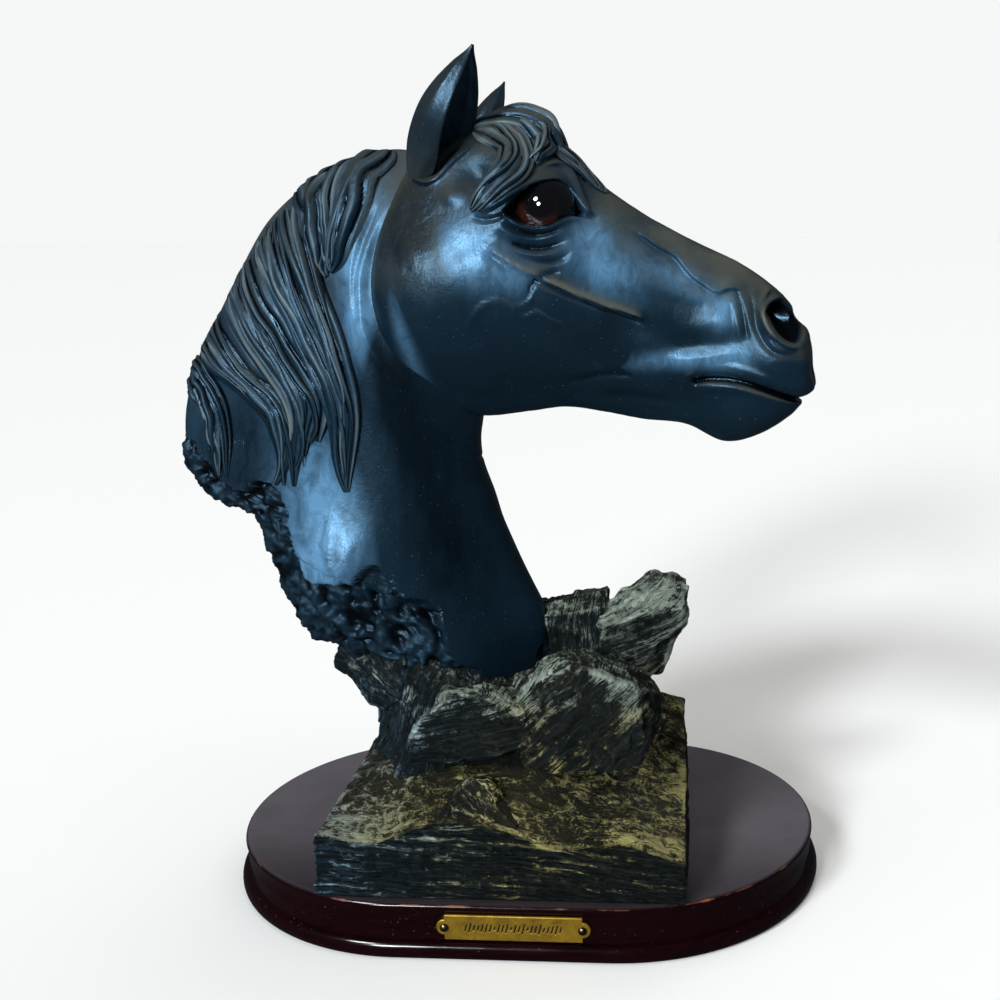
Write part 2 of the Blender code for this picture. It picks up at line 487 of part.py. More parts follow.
def lock_group(surface, normals, rear, front, count, half_width, height, root):
    """Locks that fill the strip between a rear and a front strand."""
    rear, front = np.array(rear, float), np.array(front, float)
    knots = np.linspace(0, 1, 9)
    rear = spline_weights(knots, len(rear)) @ rear
    front = spline_weights(knots, len(front)) @ front
    for index in range(count):
        share = (index + 0.5) / count
        sway = 1.2 * np.sin(3.0 * knots + 2.1 * index)[:, None] * np.array((1, 0, 0))
        path = rear + (front - rear) * share + sway
        thickness = height * (1 + 0.18 * math.sin(1.7 * index))
        yield lock_surface(surface, normals, path, half_width, thickness, root)


def ear_surface(base, tip, radius, opening, rows=26, columns=30):
    """A cupped leaf: an open arc of even wall, swept from a narrow base to a point."""
    base, tip, opening = (np.array(value, float) for value in (base, tip, opening))
    axis = (tip - base) / np.linalg.norm(tip - base)
    opening -= axis * (opening @ axis)
    opening /= np.linalg.norm(opening)
    side = np.cross(axis, opening)
    along = np.linspace(0, 1, rows)
    profile = curve(((0.80,), (0.92,), (0.98,), (0.98,), (0.96,), (0.78,), (0.42,), (0.10,)), rows)[:, 0]
    gape = np.radians(curve(((25,), (30,), (42,), (54,), (60,), (62,), (60,), (55,)), rows)[:, 0])
    half = columns // 2
    sweep = np.linspace(-1, 1, half)[None] * (math.pi - gape[:, None])
    outer = radius * profile[:, None] * np.ones(half)
    inner = np.maximum(outer - EAR_WALL, outer * 0.25)
    sweep = np.concatenate((sweep, sweep[:, ::-1]), axis=1)
    reach = np.concatenate((outer, inner), axis=1)
    lean = -2.2 * np.sin(math.pi * along)
    centre = base + axis * (along * np.linalg.norm(tip - base))[:, None] - opening * lean[:, None]
    return centre[:, None] + reach[..., None] * (np.sin(sweep)[..., None] * side
                                                 - np.cos(sweep)[..., None] * opening)


def hull_planes(corners):
    """Outward planes of the convex hull of a few corners, as normals and distances."""
    centre = corners.mean(axis=0)
    planes = []
    for a, b, c in itertools.combinations(corners - centre, 3):
        normal = np.cross(b - a, c - a)
        size = np.linalg.norm(normal)
        if size < 1e-6:
            continue
        normal = normal / size * (1 if normal @ a > 0 else -1)
        if np.all((corners - centre) @ normal <= normal @ a + 1e-6):
            planes.append((*normal, normal @ a))
    return centre, np.array(planes)


def stone_surface(corners, seed, rows=40, columns=56):
    """A stone with flat sides: its hull as a radius in each direction, edges worn, face rough."""
    centre, planes = hull_planes(np.array(corners, float))
    tilt = np.linspace(0, math.pi, rows)[:, None] + 1e-4
    turn = np.linspace(0, 2 * math.pi, columns, endpoint=False)[None]
    direction = np.stack((np.sin(tilt) * np.cos(turn), np.sin(tilt) * np.sin(turn),
                          np.cos(tilt) * np.ones_like(turn)), axis=-1)
    closeness = np.maximum(direction @ planes[:, :3].T / planes[:, 3], 1e-6)
    radius = 1 / np.sum(closeness**40, axis=-1) ** (1 / 40)
    points = centre + direction * radius[..., None]
    rough = noise(points, 9.0, seed) + 0.5 * noise(points, 4.0, seed + 1)
    return points + direction * (STONE_ROUGHNESS * rough)[..., None]


def slab_surface(rows=44, columns=120):
    """The base slab: rings that climb its layered sides, then close over its uneven top."""
    corners = np.array(SLAB_OUTLINE + (SLAB_OUTLINE[0],), float)
    lengths = np.concatenate(((0,), np.cumsum(np.linalg.norm(np.diff(corners, axis=0), axis=1))))
    station = np.linspace(0, lengths[-1], columns, endpoint=False)
    edge = np.stack([np.interp(station, lengths, corners[:, axis]) for axis in (0, 1)], axis=1)
    climb = np.linspace(0, 1, rows)
    reach = np.minimum((1.001 - climb) / (1.001 - SLAB_SIDE_SHARE), 1)
    centre = np.array(SLAB_CENTRE)
    spot = centre + (edge - centre)[None] * reach[:, None, None]
    foot = DRAWN_SEAT - SLAB_SINK
    rise = np.minimum(climb / SLAB_SIDE_SHARE, 1)[:, None]
    height = foot + (slab_height(spot[..., 0], spot[..., 1]) - foot) * rise
    points = np.concatenate((spot, height[..., None]), axis=-1)
    wobble = noise(points * (0.35, 0.35, 1), STRATA_SPACING, 11)
    layers = np.sin(2 * math.pi * points[..., 2] / STRATA_SPACING + 2.2 * noise(points, 26, 12))
    outward = np.concatenate((spot - centre, np.zeros(spot.shape[:2] + (1,))), axis=-1)
    outward /= np.linalg.norm(outward, axis=-1, keepdims=True) + 1e-9
    points = points + outward * (STRATA_DEPTH * (layers + wobble) * (rise < 1))[..., None]
    points[..., 2] += SLAB_TOP_ROUGHNESS * noise(points, 11, 13) * (rise >= 1)
    return points


def slab_height(x, y):
    """Height of the slab's top, from its rows of heights."""
    heights = np.array(SLAB_HEIGHTS)
    shape = x.shape
    across = (x.ravel() - SLAB_COLUMNS_X[0]) / (SLAB_COLUMNS_X[1] - SLAB_COLUMNS_X[0])
    back = (y.ravel() - SLAB_ROWS_Y[0]) / (SLAB_ROWS_Y[1] - SLAB_ROWS_Y[0])
    rows = spline_weights(back, len(heights))
    columns = spline_weights(across, heights.shape[1])
    return np.einsum("pr,rc,pc->p", rows, heights, columns).reshape(shape)


# From the drawing to the model

def seat_height():
    """Height of the casting's underside above the plinth's underside."""
    return PLINTH_HEIGHT + CLEARANCE


def to_model(points):
    """Scale points of the casting's drawing about its seat and stand them on the plinth, in metres."""
    scale = CASTING_HEIGHT / DRAWN_HEIGHT
    moved = (np.asarray(points, float) - (0, 0, DRAWN_SEAT)) * scale + (CASTING_FORWARD, 0, seat_height())
    return moved * MM


def eye_centres():
    """Centres of the two eyes in the model, in metres."""
    x, y, z = EYE_CENTRE
    return {name: to_model(turn_head(np.array((x, lateral, z))))
            for name, lateral in (("eye_near", y), ("eye_far", -y))}


# Objects and materials

def material(name, colour, roughness, metallic=0.0, coat=0.0):
    """A Principled material."""
    result = bpy.data.materials.new(name)
    result.use_nodes = True
    shader = result.node_tree.nodes["Principled BSDF"]
    shader.inputs["Base Color"].default_value = (*colour, 1.0)
    shader.inputs["Roughness"].default_value = roughness
    shader.inputs["Metallic"].default_value = metallic
    shader.inputs["Coat Weight"].default_value = coat
    return result


def add_object(name, mesh, surface=None):
    """Put a bmesh in the scene as an object, with its faces pointing out and its material."""
    bmesh.ops.recalc_face_normals(mesh, faces=mesh.faces)
    data = bpy.data.meshes.new(name)
    mesh.to_mesh(data)
    mesh.free()
    piece = bpy.data.objects.new(name, data)
    bpy.context.scene.collection.objects.link(piece)
    if surface:
        data.materials.append(surface)
    return piece


def shade(piece, degrees):
    """Shade smooth, with edges sharper than the angle kept crisp."""
    piece.data.shade_smooth()
    piece.data.set_sharp_from_angle(angle=math.radians(degrees))


def cut(piece, cutter):
    """Cut a piece with another object, which is then only a guide."""
    cutter.hide_render = True
    cutter.display_type = "WIRE"
    boolean = piece.modifiers.new(cutter.name, "BOOLEAN")
    boolean.operation = "DIFFERENCE"
    boolean.solver = "EXACT"
    boolean.object = cutter


def cylinder_cutter(name, radius, start_y, end_y, x, z):
    """A round cutter along Y."""
    mesh = bmesh.new()
    bmesh.ops.create_cone(mesh, cap_ends=True, segments=16, radius1=radius * MM, radius2=radius * MM,
                          depth=(end_y - start_y) * MM)
    cutter = add_object(name, mesh)
    cutter.rotation_euler = (math.radians(90), 0, 0)
    cutter.location = (x * MM, (start_y + end_y) / 2 * MM, z * MM)
    return cutter


def ball(name, radius, centre, surface=None, segments=16, rings=10):
    """A sphere at a place in the model."""
    mesh = bmesh.new()
    bmesh.ops.create_uvsphere(mesh, u_segments=segments, v_segments=rings, radius=radius * MM)
    piece = add_object(name, mesh, surface)
    piece.location = centre
    return piece


def build_casting(surface):
    """Head, neck, mane, ears and rock as one solid, cut flat below and hollowed for the eyes."""
    head, neck = head_surface(110, 104), neck_surface(120, 96)
    head_normals, neck_normals = grid_normals(head), grid_normals(neck)
    drawn = [neck, slab_surface()]
    drawn += [turn_head(head)]
    drawn += [turn_head(ear_surface(*ear)) for ear in EARS.values()]
    for group in MANE_GROUPS.values():
        drawn += lock_group(neck, neck_normals, *group)
    for group in FORELOCK_GROUPS.values():
        drawn += [turn_head(lock) for lock in lock_group(head, head_normals, *group)]
    drawn += [stone_surface(corners, 20 + index) for index, corners in enumerate(STONES.values())]
    mesh = bmesh.new()
    for points in drawn:
        closed_tube(mesh, to_model(points))
    piece = add_object("cast_horse_head_and_rock", mesh, surface)
    remesh = piece.modifiers.new("merge", "REMESH")
    remesh.mode = "VOXEL"
    remesh.voxel_size = VOXEL_SIZE * MM
    decimate = piece.modifiers.new("facets", "DECIMATE")
    decimate.ratio = decimate_ratio(piece)
    cut(piece, seat_cutter())
    for name, centre in eye_centres().items():
        cut(piece, ball(name + "_socket", EYE_RADIUS + CLEARANCE, centre))
    return piece


def decimate_ratio(piece):
    """The share of the merged mesh's triangles that leaves the casting its budget."""
    piece.modifiers["facets"].show_viewport = False
    merged = piece.evaluated_get(bpy.context.evaluated_depsgraph_get()).data
    triangles = sum(len(face.vertices) - 2 for face in merged.polygons)
    piece.modifiers["facets"].show_viewport = True
    return CASTING_TRIANGLES / triangles


def seat_cutter():
    """A block that cuts the casting's underside flat, just above the plinth."""
    mesh = bmesh.new()
    bmesh.ops.create_cube(mesh, size=1.0)
    cutter = add_object("seat_cutter", mesh)
    size = np.array((2 * PLINTH_LENGTH, 2 * PLINTH_LENGTH, SEAT_CUTTER_DEPTH)) * MM
    cutter.data.transform(np.diag((*size, 1.0)))
    cutter.location = (0, 0, (seat_height() - SEAT_CUTTER_DEPTH / 2) * MM)
    return cutter


def oval_ring(offset, height):
    """The plinth's oval outline, moved out by the offset, at a height."""
    radius = PLINTH_WIDTH / 2 + offset
    straight = (PLINTH_LENGTH - PLINTH_WIDTH) / 2
    ring = []
    for centre, first in ((straight, -90), (-straight, 90)):
        for step in range(PLINTH_ARC_STEPS + 1):
            angle = math.radians(first + 180 * step / PLINTH_ARC_STEPS)
            ring.append((centre + radius * math.cos(angle), radius * math.sin(angle), height))
    return ring


def plinth_profile():
    """The plinth's edge from the foot to the top: (offset outward, height) pairs."""
    bead_radius = PLINTH_BEAD_HEIGHT / 2
    profile = []
    for step in range(7):
        angle = math.radians(-90 + 180 * step / 6)
        bulge = PLINTH_BEAD_REACH - bead_radius * PLINTH_BEAD_FLATNESS * (1 - math.cos(angle))
        profile.append((bulge, bead_radius + bead_radius * math.sin(angle)))
    lip = PLINTH_HEIGHT - PLINTH_EDGE_ROUND
    profile += [(-PLINTH_BAND_INSET, height) for height in band_edges()]
    for step in range(5):
        angle = math.radians(90 * step / 4)
        profile.append((-PLINTH_EDGE_ROUND * (1 - math.cos(angle)),
                        lip + PLINTH_EDGE_ROUND * math.sin(angle)))
    return profile


def band_edges():
    """Heights of the lower and the upper edge of the plinth's flat band."""
    return (PLINTH_BEAD_HEIGHT + PLINTH_FOOT_STEP, PLINTH_HEIGHT - PLINTH_EDGE_ROUND - PLINTH_LIP_STEP)


def band_y():
    """The y of the plinth's flat front band, which the nameplate sits on."""
    return -(PLINTH_WIDTH / 2 - PLINTH_BAND_INSET)


def plate_z():
    """Height of the nameplate's centre: the middle of the flat band."""
    return sum(band_edges()) / 2


def pin_places():
    """The x of each pin."""
    return {"pin_left": PLATE_CENTRE_X - PLATE_LENGTH / 2, "pin_right": PLATE_CENTRE_X + PLATE_LENGTH / 2}


def build_plinth(surface):
    """The turned oval stand, with a bore for each pin."""
    mesh = bmesh.new()
    rings = np.array([oval_ring(offset, height) for offset, height in plinth_profile()]) * MM
    closed_tube(mesh, rings)
    piece = add_object("oval_wooden_plinth", mesh, surface)
    shade(piece, 30)
    depth = PIN_SHANK_LENGTH
    for name, x in pin_places().items():
        radius = PIN_SHANK_RADIUS + CLEARANCE
        cut(piece, cylinder_cutter(name + "_bore", radius, band_y() - 3, band_y() + depth, x, plate_z()))
    return piece


def build_plate(surface):
    """The nameplate: a plain strip with a rounded lug and a hole at each end."""
    half = PLATE_HEIGHT / 2
    outline = []
    for sign in (1, -1):
        end = PLATE_CENTRE_X + sign * PLATE_LENGTH / 2
        outline.append((end, -sign * half))
        for step in range(9):
            angle = math.radians(-90 + 180 * step / 8)
            outline.append((end + sign * PLATE_LUG_RADIUS * math.cos(angle),
                            sign * PLATE_LUG_RADIUS * math.sin(angle)))
        outline.append((end, sign * half))
    front = band_y() - CLEARANCE - PLATE_THICKNESS
    mesh = bmesh.new()
    closed_tube(mesh, np.array([[(x * MM, y * MM, (plate_z() + z) * MM) for x, z in outline]
                                for y in (front, band_y() - CLEARANCE)]))
    piece = add_object("brass_nameplate", mesh, surface)
    for name, x in pin_places().items():
        cut(piece, cylinder_cutter(name + "_hole", PIN_SHANK_RADIUS + CLEARANCE, front - 2, front + 3,
                                   x, plate_z()))
    return piece


def build_pin(name, x, surface):
    """A round-head pin: a dome on a plain shank, turned about its axis."""
    steps = 5
    seat = PIN_HEAD_HEIGHT
    profile = [(0.02, 0.0)]
    for step in range(1, steps + 1):
        angle = math.radians(90 * step / steps)
        profile.append((PIN_HEAD_RADIUS * math.sin(angle), seat * (1 - math.cos(angle))))
    profile += [(PIN_SHANK_RADIUS, seat), (PIN_SHANK_RADIUS, seat + PIN_SHANK_LENGTH)]
    turns = np.linspace(0, 2 * math.pi, 16, endpoint=False)
    head_y = band_y() - 2 * CLEARANCE - PLATE_THICKNESS - seat
    rings = np.array([[(x + radius * math.cos(turn), head_y + depth, plate_z() + radius * math.sin(turn))
                       for turn in turns] for radius, depth in profile])
    mesh = bmesh.new()
    closed_tube(mesh, rings * MM)
    piece = add_object(name, mesh, surface)
    shade(piece, 40)
    return piece


def build():
    """Every piece of the sculpture."""
    for existing in list(bpy.data.objects):
        bpy.data.objects.remove(existing, do_unlink=True)
    build_casting(material("patinated_resin", (0.020, 0.027, 0.036), 0.34, coat=0.3))
    build_plinth(material("lacquered_mahogany", (0.055, 0.010, 0.012), 0.20, coat=0.6))
    build_plate(material("brass_sheet", (0.50, 0.34, 0.10), 0.34, metallic=1.0))
    for name, x in pin_places().items():
        build_pin(name, x, material(name + "_brass", (0.16, 0.12, 0.06), 0.40, metallic=1.0))
    for name, centre in eye_centres().items():
        eye = ball(name, EYE_RADIUS, centre, material(name + "_glass", (0.05, 0.02, 0.014), 0.08))
        shade(eye, 60)


build()
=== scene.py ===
import itertools
import math

import bpy
import numpy as np
from mathutils import Matrix, Vector


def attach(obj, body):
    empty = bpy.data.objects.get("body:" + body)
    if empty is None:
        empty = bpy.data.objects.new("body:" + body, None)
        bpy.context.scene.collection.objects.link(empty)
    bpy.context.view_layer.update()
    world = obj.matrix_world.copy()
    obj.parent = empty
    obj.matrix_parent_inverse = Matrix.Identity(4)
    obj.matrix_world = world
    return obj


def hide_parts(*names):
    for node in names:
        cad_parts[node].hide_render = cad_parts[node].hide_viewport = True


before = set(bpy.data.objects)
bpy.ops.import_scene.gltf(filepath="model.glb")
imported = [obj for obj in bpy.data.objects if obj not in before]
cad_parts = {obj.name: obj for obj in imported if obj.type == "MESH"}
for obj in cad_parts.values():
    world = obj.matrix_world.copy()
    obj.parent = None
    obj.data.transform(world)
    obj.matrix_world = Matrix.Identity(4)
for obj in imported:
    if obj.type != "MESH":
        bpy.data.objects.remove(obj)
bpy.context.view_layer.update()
MM = 0.001


# Viewpoint, floor and light. The camera stands on the mane side, level with the eye and looking
# slightly down. Two soft windows light it from the front left, two walls and a ceiling fill in, and
# the floor is plain and pale.
CAMERA_PLACE = (0.0756, -0.4777, 0.2476)
CAMERA_TURNS = (4.55, 12.05, -0.89)     # degrees: to the left, down, and about the line of sight
CAMERA_LENS = 47.44
CAMERA_FILM = 36.0
CAMERA_SHIFT = -0.12
# Direction of each light, how wide it looks in degrees, its strength, its colour, and whether
# glossy surfaces mirror it
LIGHTS = {
    "upper_window": ((-0.485, -0.668, 0.562), 13.0, 2.1, (0.94, 0.98, 1.0), True),
    "front_window": ((-0.328, -0.891, 0.309), 11.0, 2.4, (0.94, 0.98, 1.0), True),
    "left_wall": ((-0.86, -0.48, 0.14), 60.0, 0.9, (0.88, 0.96, 1.0), False),
    "far_wall": ((0.45, 0.86, 0.25), 60.0, 0.45, (0.90, 0.94, 1.0), False),
    "ceiling": ((0.25, 0.10, 1.0), 80.0, 1.55, (1.0, 0.98, 0.94), False),
}
SKY = (0.80, 0.88, 1.0)
SKY_STRENGTH = 0.05
BACKDROP = (0.913, 0.935, 0.9275)
FLOOR_HALF_SIZE = 20.0
FLOOR_PAINT = (0.86, 0.86, 0.85)


def add_node(tree, kind, inputs=None, **settings):
    """A shader node; each input is set to a value or linked to another node's socket."""
    node = tree.nodes.new(kind)
    for name, value in settings.items():
        setattr(node, name, value)
    for name, value in (inputs or {}).items():
        if isinstance(value, bpy.types.NodeSocket):
            tree.links.new(value, node.inputs[name])
        else:
            node.inputs[name].default_value = value
    return node


def new_finish(name, roughness, **constants):
    """A Principled material. Returns the material, its tree and its shader."""
    finish = bpy.data.materials.new(name)
    finish.use_nodes = True
    shader = finish.node_tree.nodes["Principled BSDF"]
    shader.inputs["Roughness"].default_value = roughness
    for socket, value in constants.items():
        shader.inputs[socket.replace("_", " ")].default_value = value
    return finish, finish.node_tree, shader


view = bpy.data.cameras.new("camera")
view.lens = CAMERA_LENS
view.sensor_width = CAMERA_FILM
view.shift_x = CAMERA_SHIFT
view.clip_start = 0.01
camera = bpy.data.objects.new("camera", view)
turn_left, tip_down, roll = (math.radians(angle) for angle in CAMERA_TURNS)
camera.matrix_world = (Matrix.Translation(CAMERA_PLACE) @ Matrix.Rotation(turn_left, 4, "Z")
                       @ Matrix.Rotation(math.pi / 2 - tip_down, 4, "X") @ Matrix.Rotation(roll, 4, "Z"))
bpy.context.scene.collection.objects.link(camera)
bpy.context.scene.camera = camera
bpy.context.scene.view_settings.view_transform = "Standard"

for light_name, (direction, width, strength, colour, mirrored) in LIGHTS.items():
    light = bpy.data.lights.new(light_name, "SUN")
    light.angle = math.radians(width)
    light.energy = strength
    light.color = colour
    lamp = bpy.data.objects.new(light_name, light)
    lamp.rotation_euler = Vector(direction).to_track_quat("Z", "Y").to_euler()
    lamp.visible_glossy = mirrored
    bpy.context.scene.collection.objects.link(lamp)

world = bpy.data.worlds.new("studio")
bpy.context.scene.world = world
world.use_nodes = True
sky = world.node_tree
seen = add_node(sky, "ShaderNodeLightPath").outputs["Is Camera Ray"]
dim = sky.nodes["Background"]
dim.inputs["Color"].default_value = (*SKY, 1)
dim.inputs["Strength"].default_value = SKY_STRENGTH
plain = add_node(sky, "ShaderNodeBackground", {"Color": (*BACKDROP, 1), "Strength": 1.0})
both = add_node(sky, "ShaderNodeMixShader", {0: seen, 1: dim.outputs[0], 2: plain.outputs[0]})
sky.links.new(both.outputs[0], sky.nodes["World Output"].inputs["Surface"])

floor_mesh = bpy.data.meshes.new("floor")
floor_mesh.from_pydata([(x * FLOOR_HALF_SIZE, y * FLOOR_HALF_SIZE, 0.0)
                        for x, y in ((-1, -1), (1, -1), (1, 1), (-1, 1))], [], [(0, 1, 2, 3)])
floor = bpy.data.objects.new("floor", floor_mesh)
bpy.context.scene.collection.objects.link(floor)
floor_finish, _, floor_shader = new_finish("pale_floor", 0.7)
floor_shader.inputs["Base Color"].default_value = (*FLOOR_PAINT, 1)
floor_mesh.materials.append(floor_finish)
floor.visible_glossy = False


# Plinth: an oval stand of hardwood, turned with a rounded top edge, a flat band and a bead at the
# foot, then stained dark mahogany and sprayed with a glossy lacquer that has worn at the top edge.
PLINTH_LENGTH = 220.0
PLINTH_WIDTH = 147.0
PLINTH_HEIGHT = 20.0
EDGE_ROUND = 1.6
BAND_INSET = 0.6
BAND_HOLLOW = 0.5
BEAD_HEIGHT = 6.2
BEAD_REACH = 2.2
BEAD_FLATNESS = 0.6
FOOT_STEP = 0.4
LIP_STEP = 1.4
MAHOGANY = (0.0030, 0.0004, 0.0007)
MAHOGANY_GRAIN = (0.0075, 0.0008, 0.0014)
WORN_WOOD = (0.17, 0.055, 0.020)
# Grey painted reflection on the rear of the plinth's top
TOP_PAINTED_REFLECTION = (0.100, 0.090, 0.104)
DUST_ON_LACQUER = (0.20, 0.16, 0.15)
# How worn and how level the plinth is, ring by ring: bead 15, band 9, rounded edge 7, top 5
RING_WEAR = (0,) * 24 + (0.3, 0.75, 1.0, 0.9, 0.6, 0.3) + (0,) * 6
RING_LEVEL = (0,) * 27 + (0.3, 0.6, 0.9) + (1,) * 6


def smooth_step(low, high, value):
    """0 below low, 1 above high, and 3s^2 - 2s^3 between, s being the share of the way."""
    share = np.clip((value - low) / (high - low), 0, 1)
    return share * share * (3 - 2 * share)


def noise(points, size, seed):
    """Smooth lattice noise from -1 to 1: hashed corner values, blended by smooth shares."""
    cell = points / size
    base = np.floor(cell).astype(np.int64)
    f = cell - base
    f = f * f * (3 - 2 * f)
    total = np.zeros(points.shape[:-1])
    for corner in itertools.product((0, 1), repeat=3):
        spot = base + np.array(corner)
        code = spot[..., 0] * 374761393 + spot[..., 1] * 668265263 + spot[..., 2] * 1440662683
        code = (code + seed * 69069) & 0x7FFFFFFF
        code = ((code ^ (code >> 13)) * 1274126177) & 0x7FFFFFFF
        value = ((code ^ (code >> 16)) & 0xFFFF) / 32767.5 - 1
        total += value * np.prod(np.where(corner, f, 1 - f), axis=-1)
    return total


def shell_faces(rows, columns, start):
    """Quads between neighbouring rows of a closed grid, and a fan of triangles at each end."""
    index = start + np.arange(rows * columns).reshape(rows, columns)
    after = np.roll(index, -1, axis=1)
    foot, head = np.full(columns, start + rows * columns), np.full(columns, start + rows * columns + 1)
    quads = np.stack((index[:-1], after[:-1], after[1:], index[1:]), axis=-1).reshape(-1, 4)
    fans = np.concatenate((np.stack((after[0], index[0], foot), axis=-1),
                           np.stack((index[-1], after[-1], head), axis=-1)))
    return quads, fans


def shells_object(name, shells, finish, marks=None, crease=None):
    """One mesh of closed shells, each a grid of points in metres whose columns run round it.
    A fan to the mean of the end ring closes each end. Marks hold a value for each point."""
    marks = marks or {}
    places, faces, values = [], [], {mark: [] for mark in marks}
    start = 0
    for number, points in enumerate(shells):
        quads, fans = shell_faces(*points.shape[:2], start)
        spots = np.concatenate((points.reshape(-1, 3), points[[0, -1]].mean(axis=1)))
        a, b, c, d = (spots[quads[:, corner] - start] for corner in range(4))
        if np.sum(np.cross(b - a, c - a) * a + np.cross(c - a, d - a) * a) < 0:
            quads, fans = quads[:, ::-1], fans[:, ::-1]
        places.append(spots)
        faces += quads.tolist() + fans.tolist()
        for mark, grids in marks.items():
            grid = grids[number]
            values[mark].append(np.concatenate((grid.ravel(), grid[[0, -1]].mean(axis=1))))
        start += len(spots)
    mesh = bpy.data.meshes.new(name)
    mesh.from_pydata(np.concatenate(places), [], faces)
    for mark, grids in values.items():
        mesh.attributes.new(mark, "FLOAT", "POINT").data.foreach_set("value", np.concatenate(grids))
    mesh.shade_smooth()
    if crease:
        mesh.set_sharp_from_angle(angle=math.radians(crease))
    mesh.materials.append(finish)
    piece = bpy.data.objects.new(name, mesh)
    bpy.context.scene.collection.objects.link(piece)
    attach(piece, "root")
    return piece


def shader_group(name, inputs, outputs):
    """An empty node group with named sockets. Returns its tree, input sockets and output node."""
    tree = bpy.data.node_groups.new(name, "ShaderNodeTree")
    kinds = {float: "NodeSocketFloat", tuple: "NodeSocketColor", type(None): "NodeSocketVector"}
    for label, value in inputs.items():
        socket = tree.interface.new_socket(name=label, in_out="INPUT", socket_type=kinds[type(value)])
        if value is not None:
            socket.default_value = value
    for label, kind in outputs.items():
        tree.interface.new_socket(name=label, in_out="OUTPUT", socket_type=kind)
    return tree, tree.nodes.new("NodeGroupInput").outputs, tree.nodes.new("NodeGroupOutput")


def number(tree, operation, first, second=0.0, clamp=False):
    """The result socket of a Math node."""
    return add_node(tree, "ShaderNodeMath", {0: first, 1: second}, operation=operation,
                    use_clamp=clamp).outputs[0]


def product(tree, first, second):
    """The first value times the second."""
    return number(tree, "MULTIPLY", first, second)


def total(tree, *terms):
    """The sum of the terms. One that is a pair counts as its value times its weight."""
    result = None
    for term in terms:
        value = product(tree, *term) if isinstance(term, tuple) else term
        result = value if result is None else number(tree, "ADD", result, value)
    return result


def span(tree, value, low, high):
    """0 at low, 1 at high and straight between, held beyond both."""
    limits = {"Value": value, "From Min": low, "From Max": high}
    return add_node(tree, "ShaderNodeMapRange", limits).outputs[0]


def mix_colours(tree, share, first, second):
    """The first colour where the share is 0 and the second where it is 1."""
    first, second = ((*colour, 1) if isinstance(colour, tuple) else colour for colour in (first, second))
    return add_node(tree, "ShaderNodeMix", {0: share, 6: first, 7: second}, data_type="RGBA").outputs[2]


def cloud(tree, place, scale, detail=3.0, roughness=0.5, distortion=0.0):
    """Noise from 0 to 1 at a scale in lumps per metre."""
    look = {"Scale": scale, "Detail": detail, "Roughness": roughness, "Distortion": distortion}
    return add_node(tree, "ShaderNodeTexNoise", {"Vector": place, **look}).outputs["Fac"]


def object_place(tree, scale=(1, 1, 1)):
    """Object coordinates, stretched."""
    place = add_node(tree, "ShaderNodeTexCoord").outputs["Object"]
    return add_node(tree, "ShaderNodeMapping", {"Vector": place, "Scale": scale}).outputs[0]


def mark_value(tree, name):
    """A mark that the mesh carries for each point."""
    return add_node(tree, "ShaderNodeAttribute", attribute_name=name).outputs["Fac"]


def raise_surface(tree, shader, height, distance):
    """Fine relief from a height, as a bump in metres."""
    bump = add_node(tree, "ShaderNodeBump", {"Height": height, "Distance": distance, "Strength": 1.0})
    tree.links.new(bump.outputs[0], shader.inputs["Normal"])


def paint(tree, shader, **sockets):
    """Link colours and values to the shader's own sockets."""
    for socket, value in sockets.items():
        tree.links.new(value, shader.inputs[socket.replace("_", " ")])


# Wear rubs the ground colour away where a mark is high, in patches
rubbed, given, result = shader_group(
    "rubbed_ridges",
    {"Place": None, "Mark": 0.0, "Ground": (0.0, 0.0, 0.0, 1.0), "Rubbed": (1.0, 1.0, 1.0, 1.0),
     "From": 0.2, "To": 0.8, "Patch Scale": 60.0, "Patchiness": 0.5},
    {"Colour": "NodeSocketColor", "Share": "NodeSocketFloat"})
patches = cloud(rubbed, given["Place"], given["Patch Scale"], 4.0, 0.6)
swing = (number(rubbed, "SUBTRACT", patches, 0.5), given["Patchiness"])
limits = {"Value": total(rubbed, given["Mark"], swing), "From Min": given["From"], "From Max": given["To"]}
share = add_node(rubbed, "ShaderNodeMapRange", limits, interpolation_type="SMOOTHSTEP").outputs[0]
rubbed.links.new(share, result.inputs["Share"])
rubbed.links.new(mix_colours(rubbed, share, given["Ground"], given["Rubbed"]), result.inputs["Colour"])


def rub(tree, **values):
    """The colour and the share of rubbed ridges."""
    node = add_node(tree, "ShaderNodeGroup", node_tree=rubbed)
    for name, value in values.items():
        socket = node.inputs[name.replace("_", " ")]
        if isinstance(value, bpy.types.NodeSocket):
            tree.links.new(value, socket)
        else:
            socket.default_value = value
    return node.outputs["Colour"], node.outputs["Share"]


def oval_ring(offset, height, steps=128):
    """Two half circles joined by straight sides, moved outward by the offset."""
    turn = np.linspace(-math.pi / 2, 3 * math.pi / 2, steps, endpoint=False) + math.pi / steps
    radius = PLINTH_WIDTH / 2 + offset
    straight = (PLINTH_LENGTH - PLINTH_WIDTH) / 2
    side = np.where(np.cos(turn) > 0, straight, -straight)
    return np.stack((side + radius * np.cos(turn), radius * np.sin(turn), np.full(steps, height)), axis=-1)


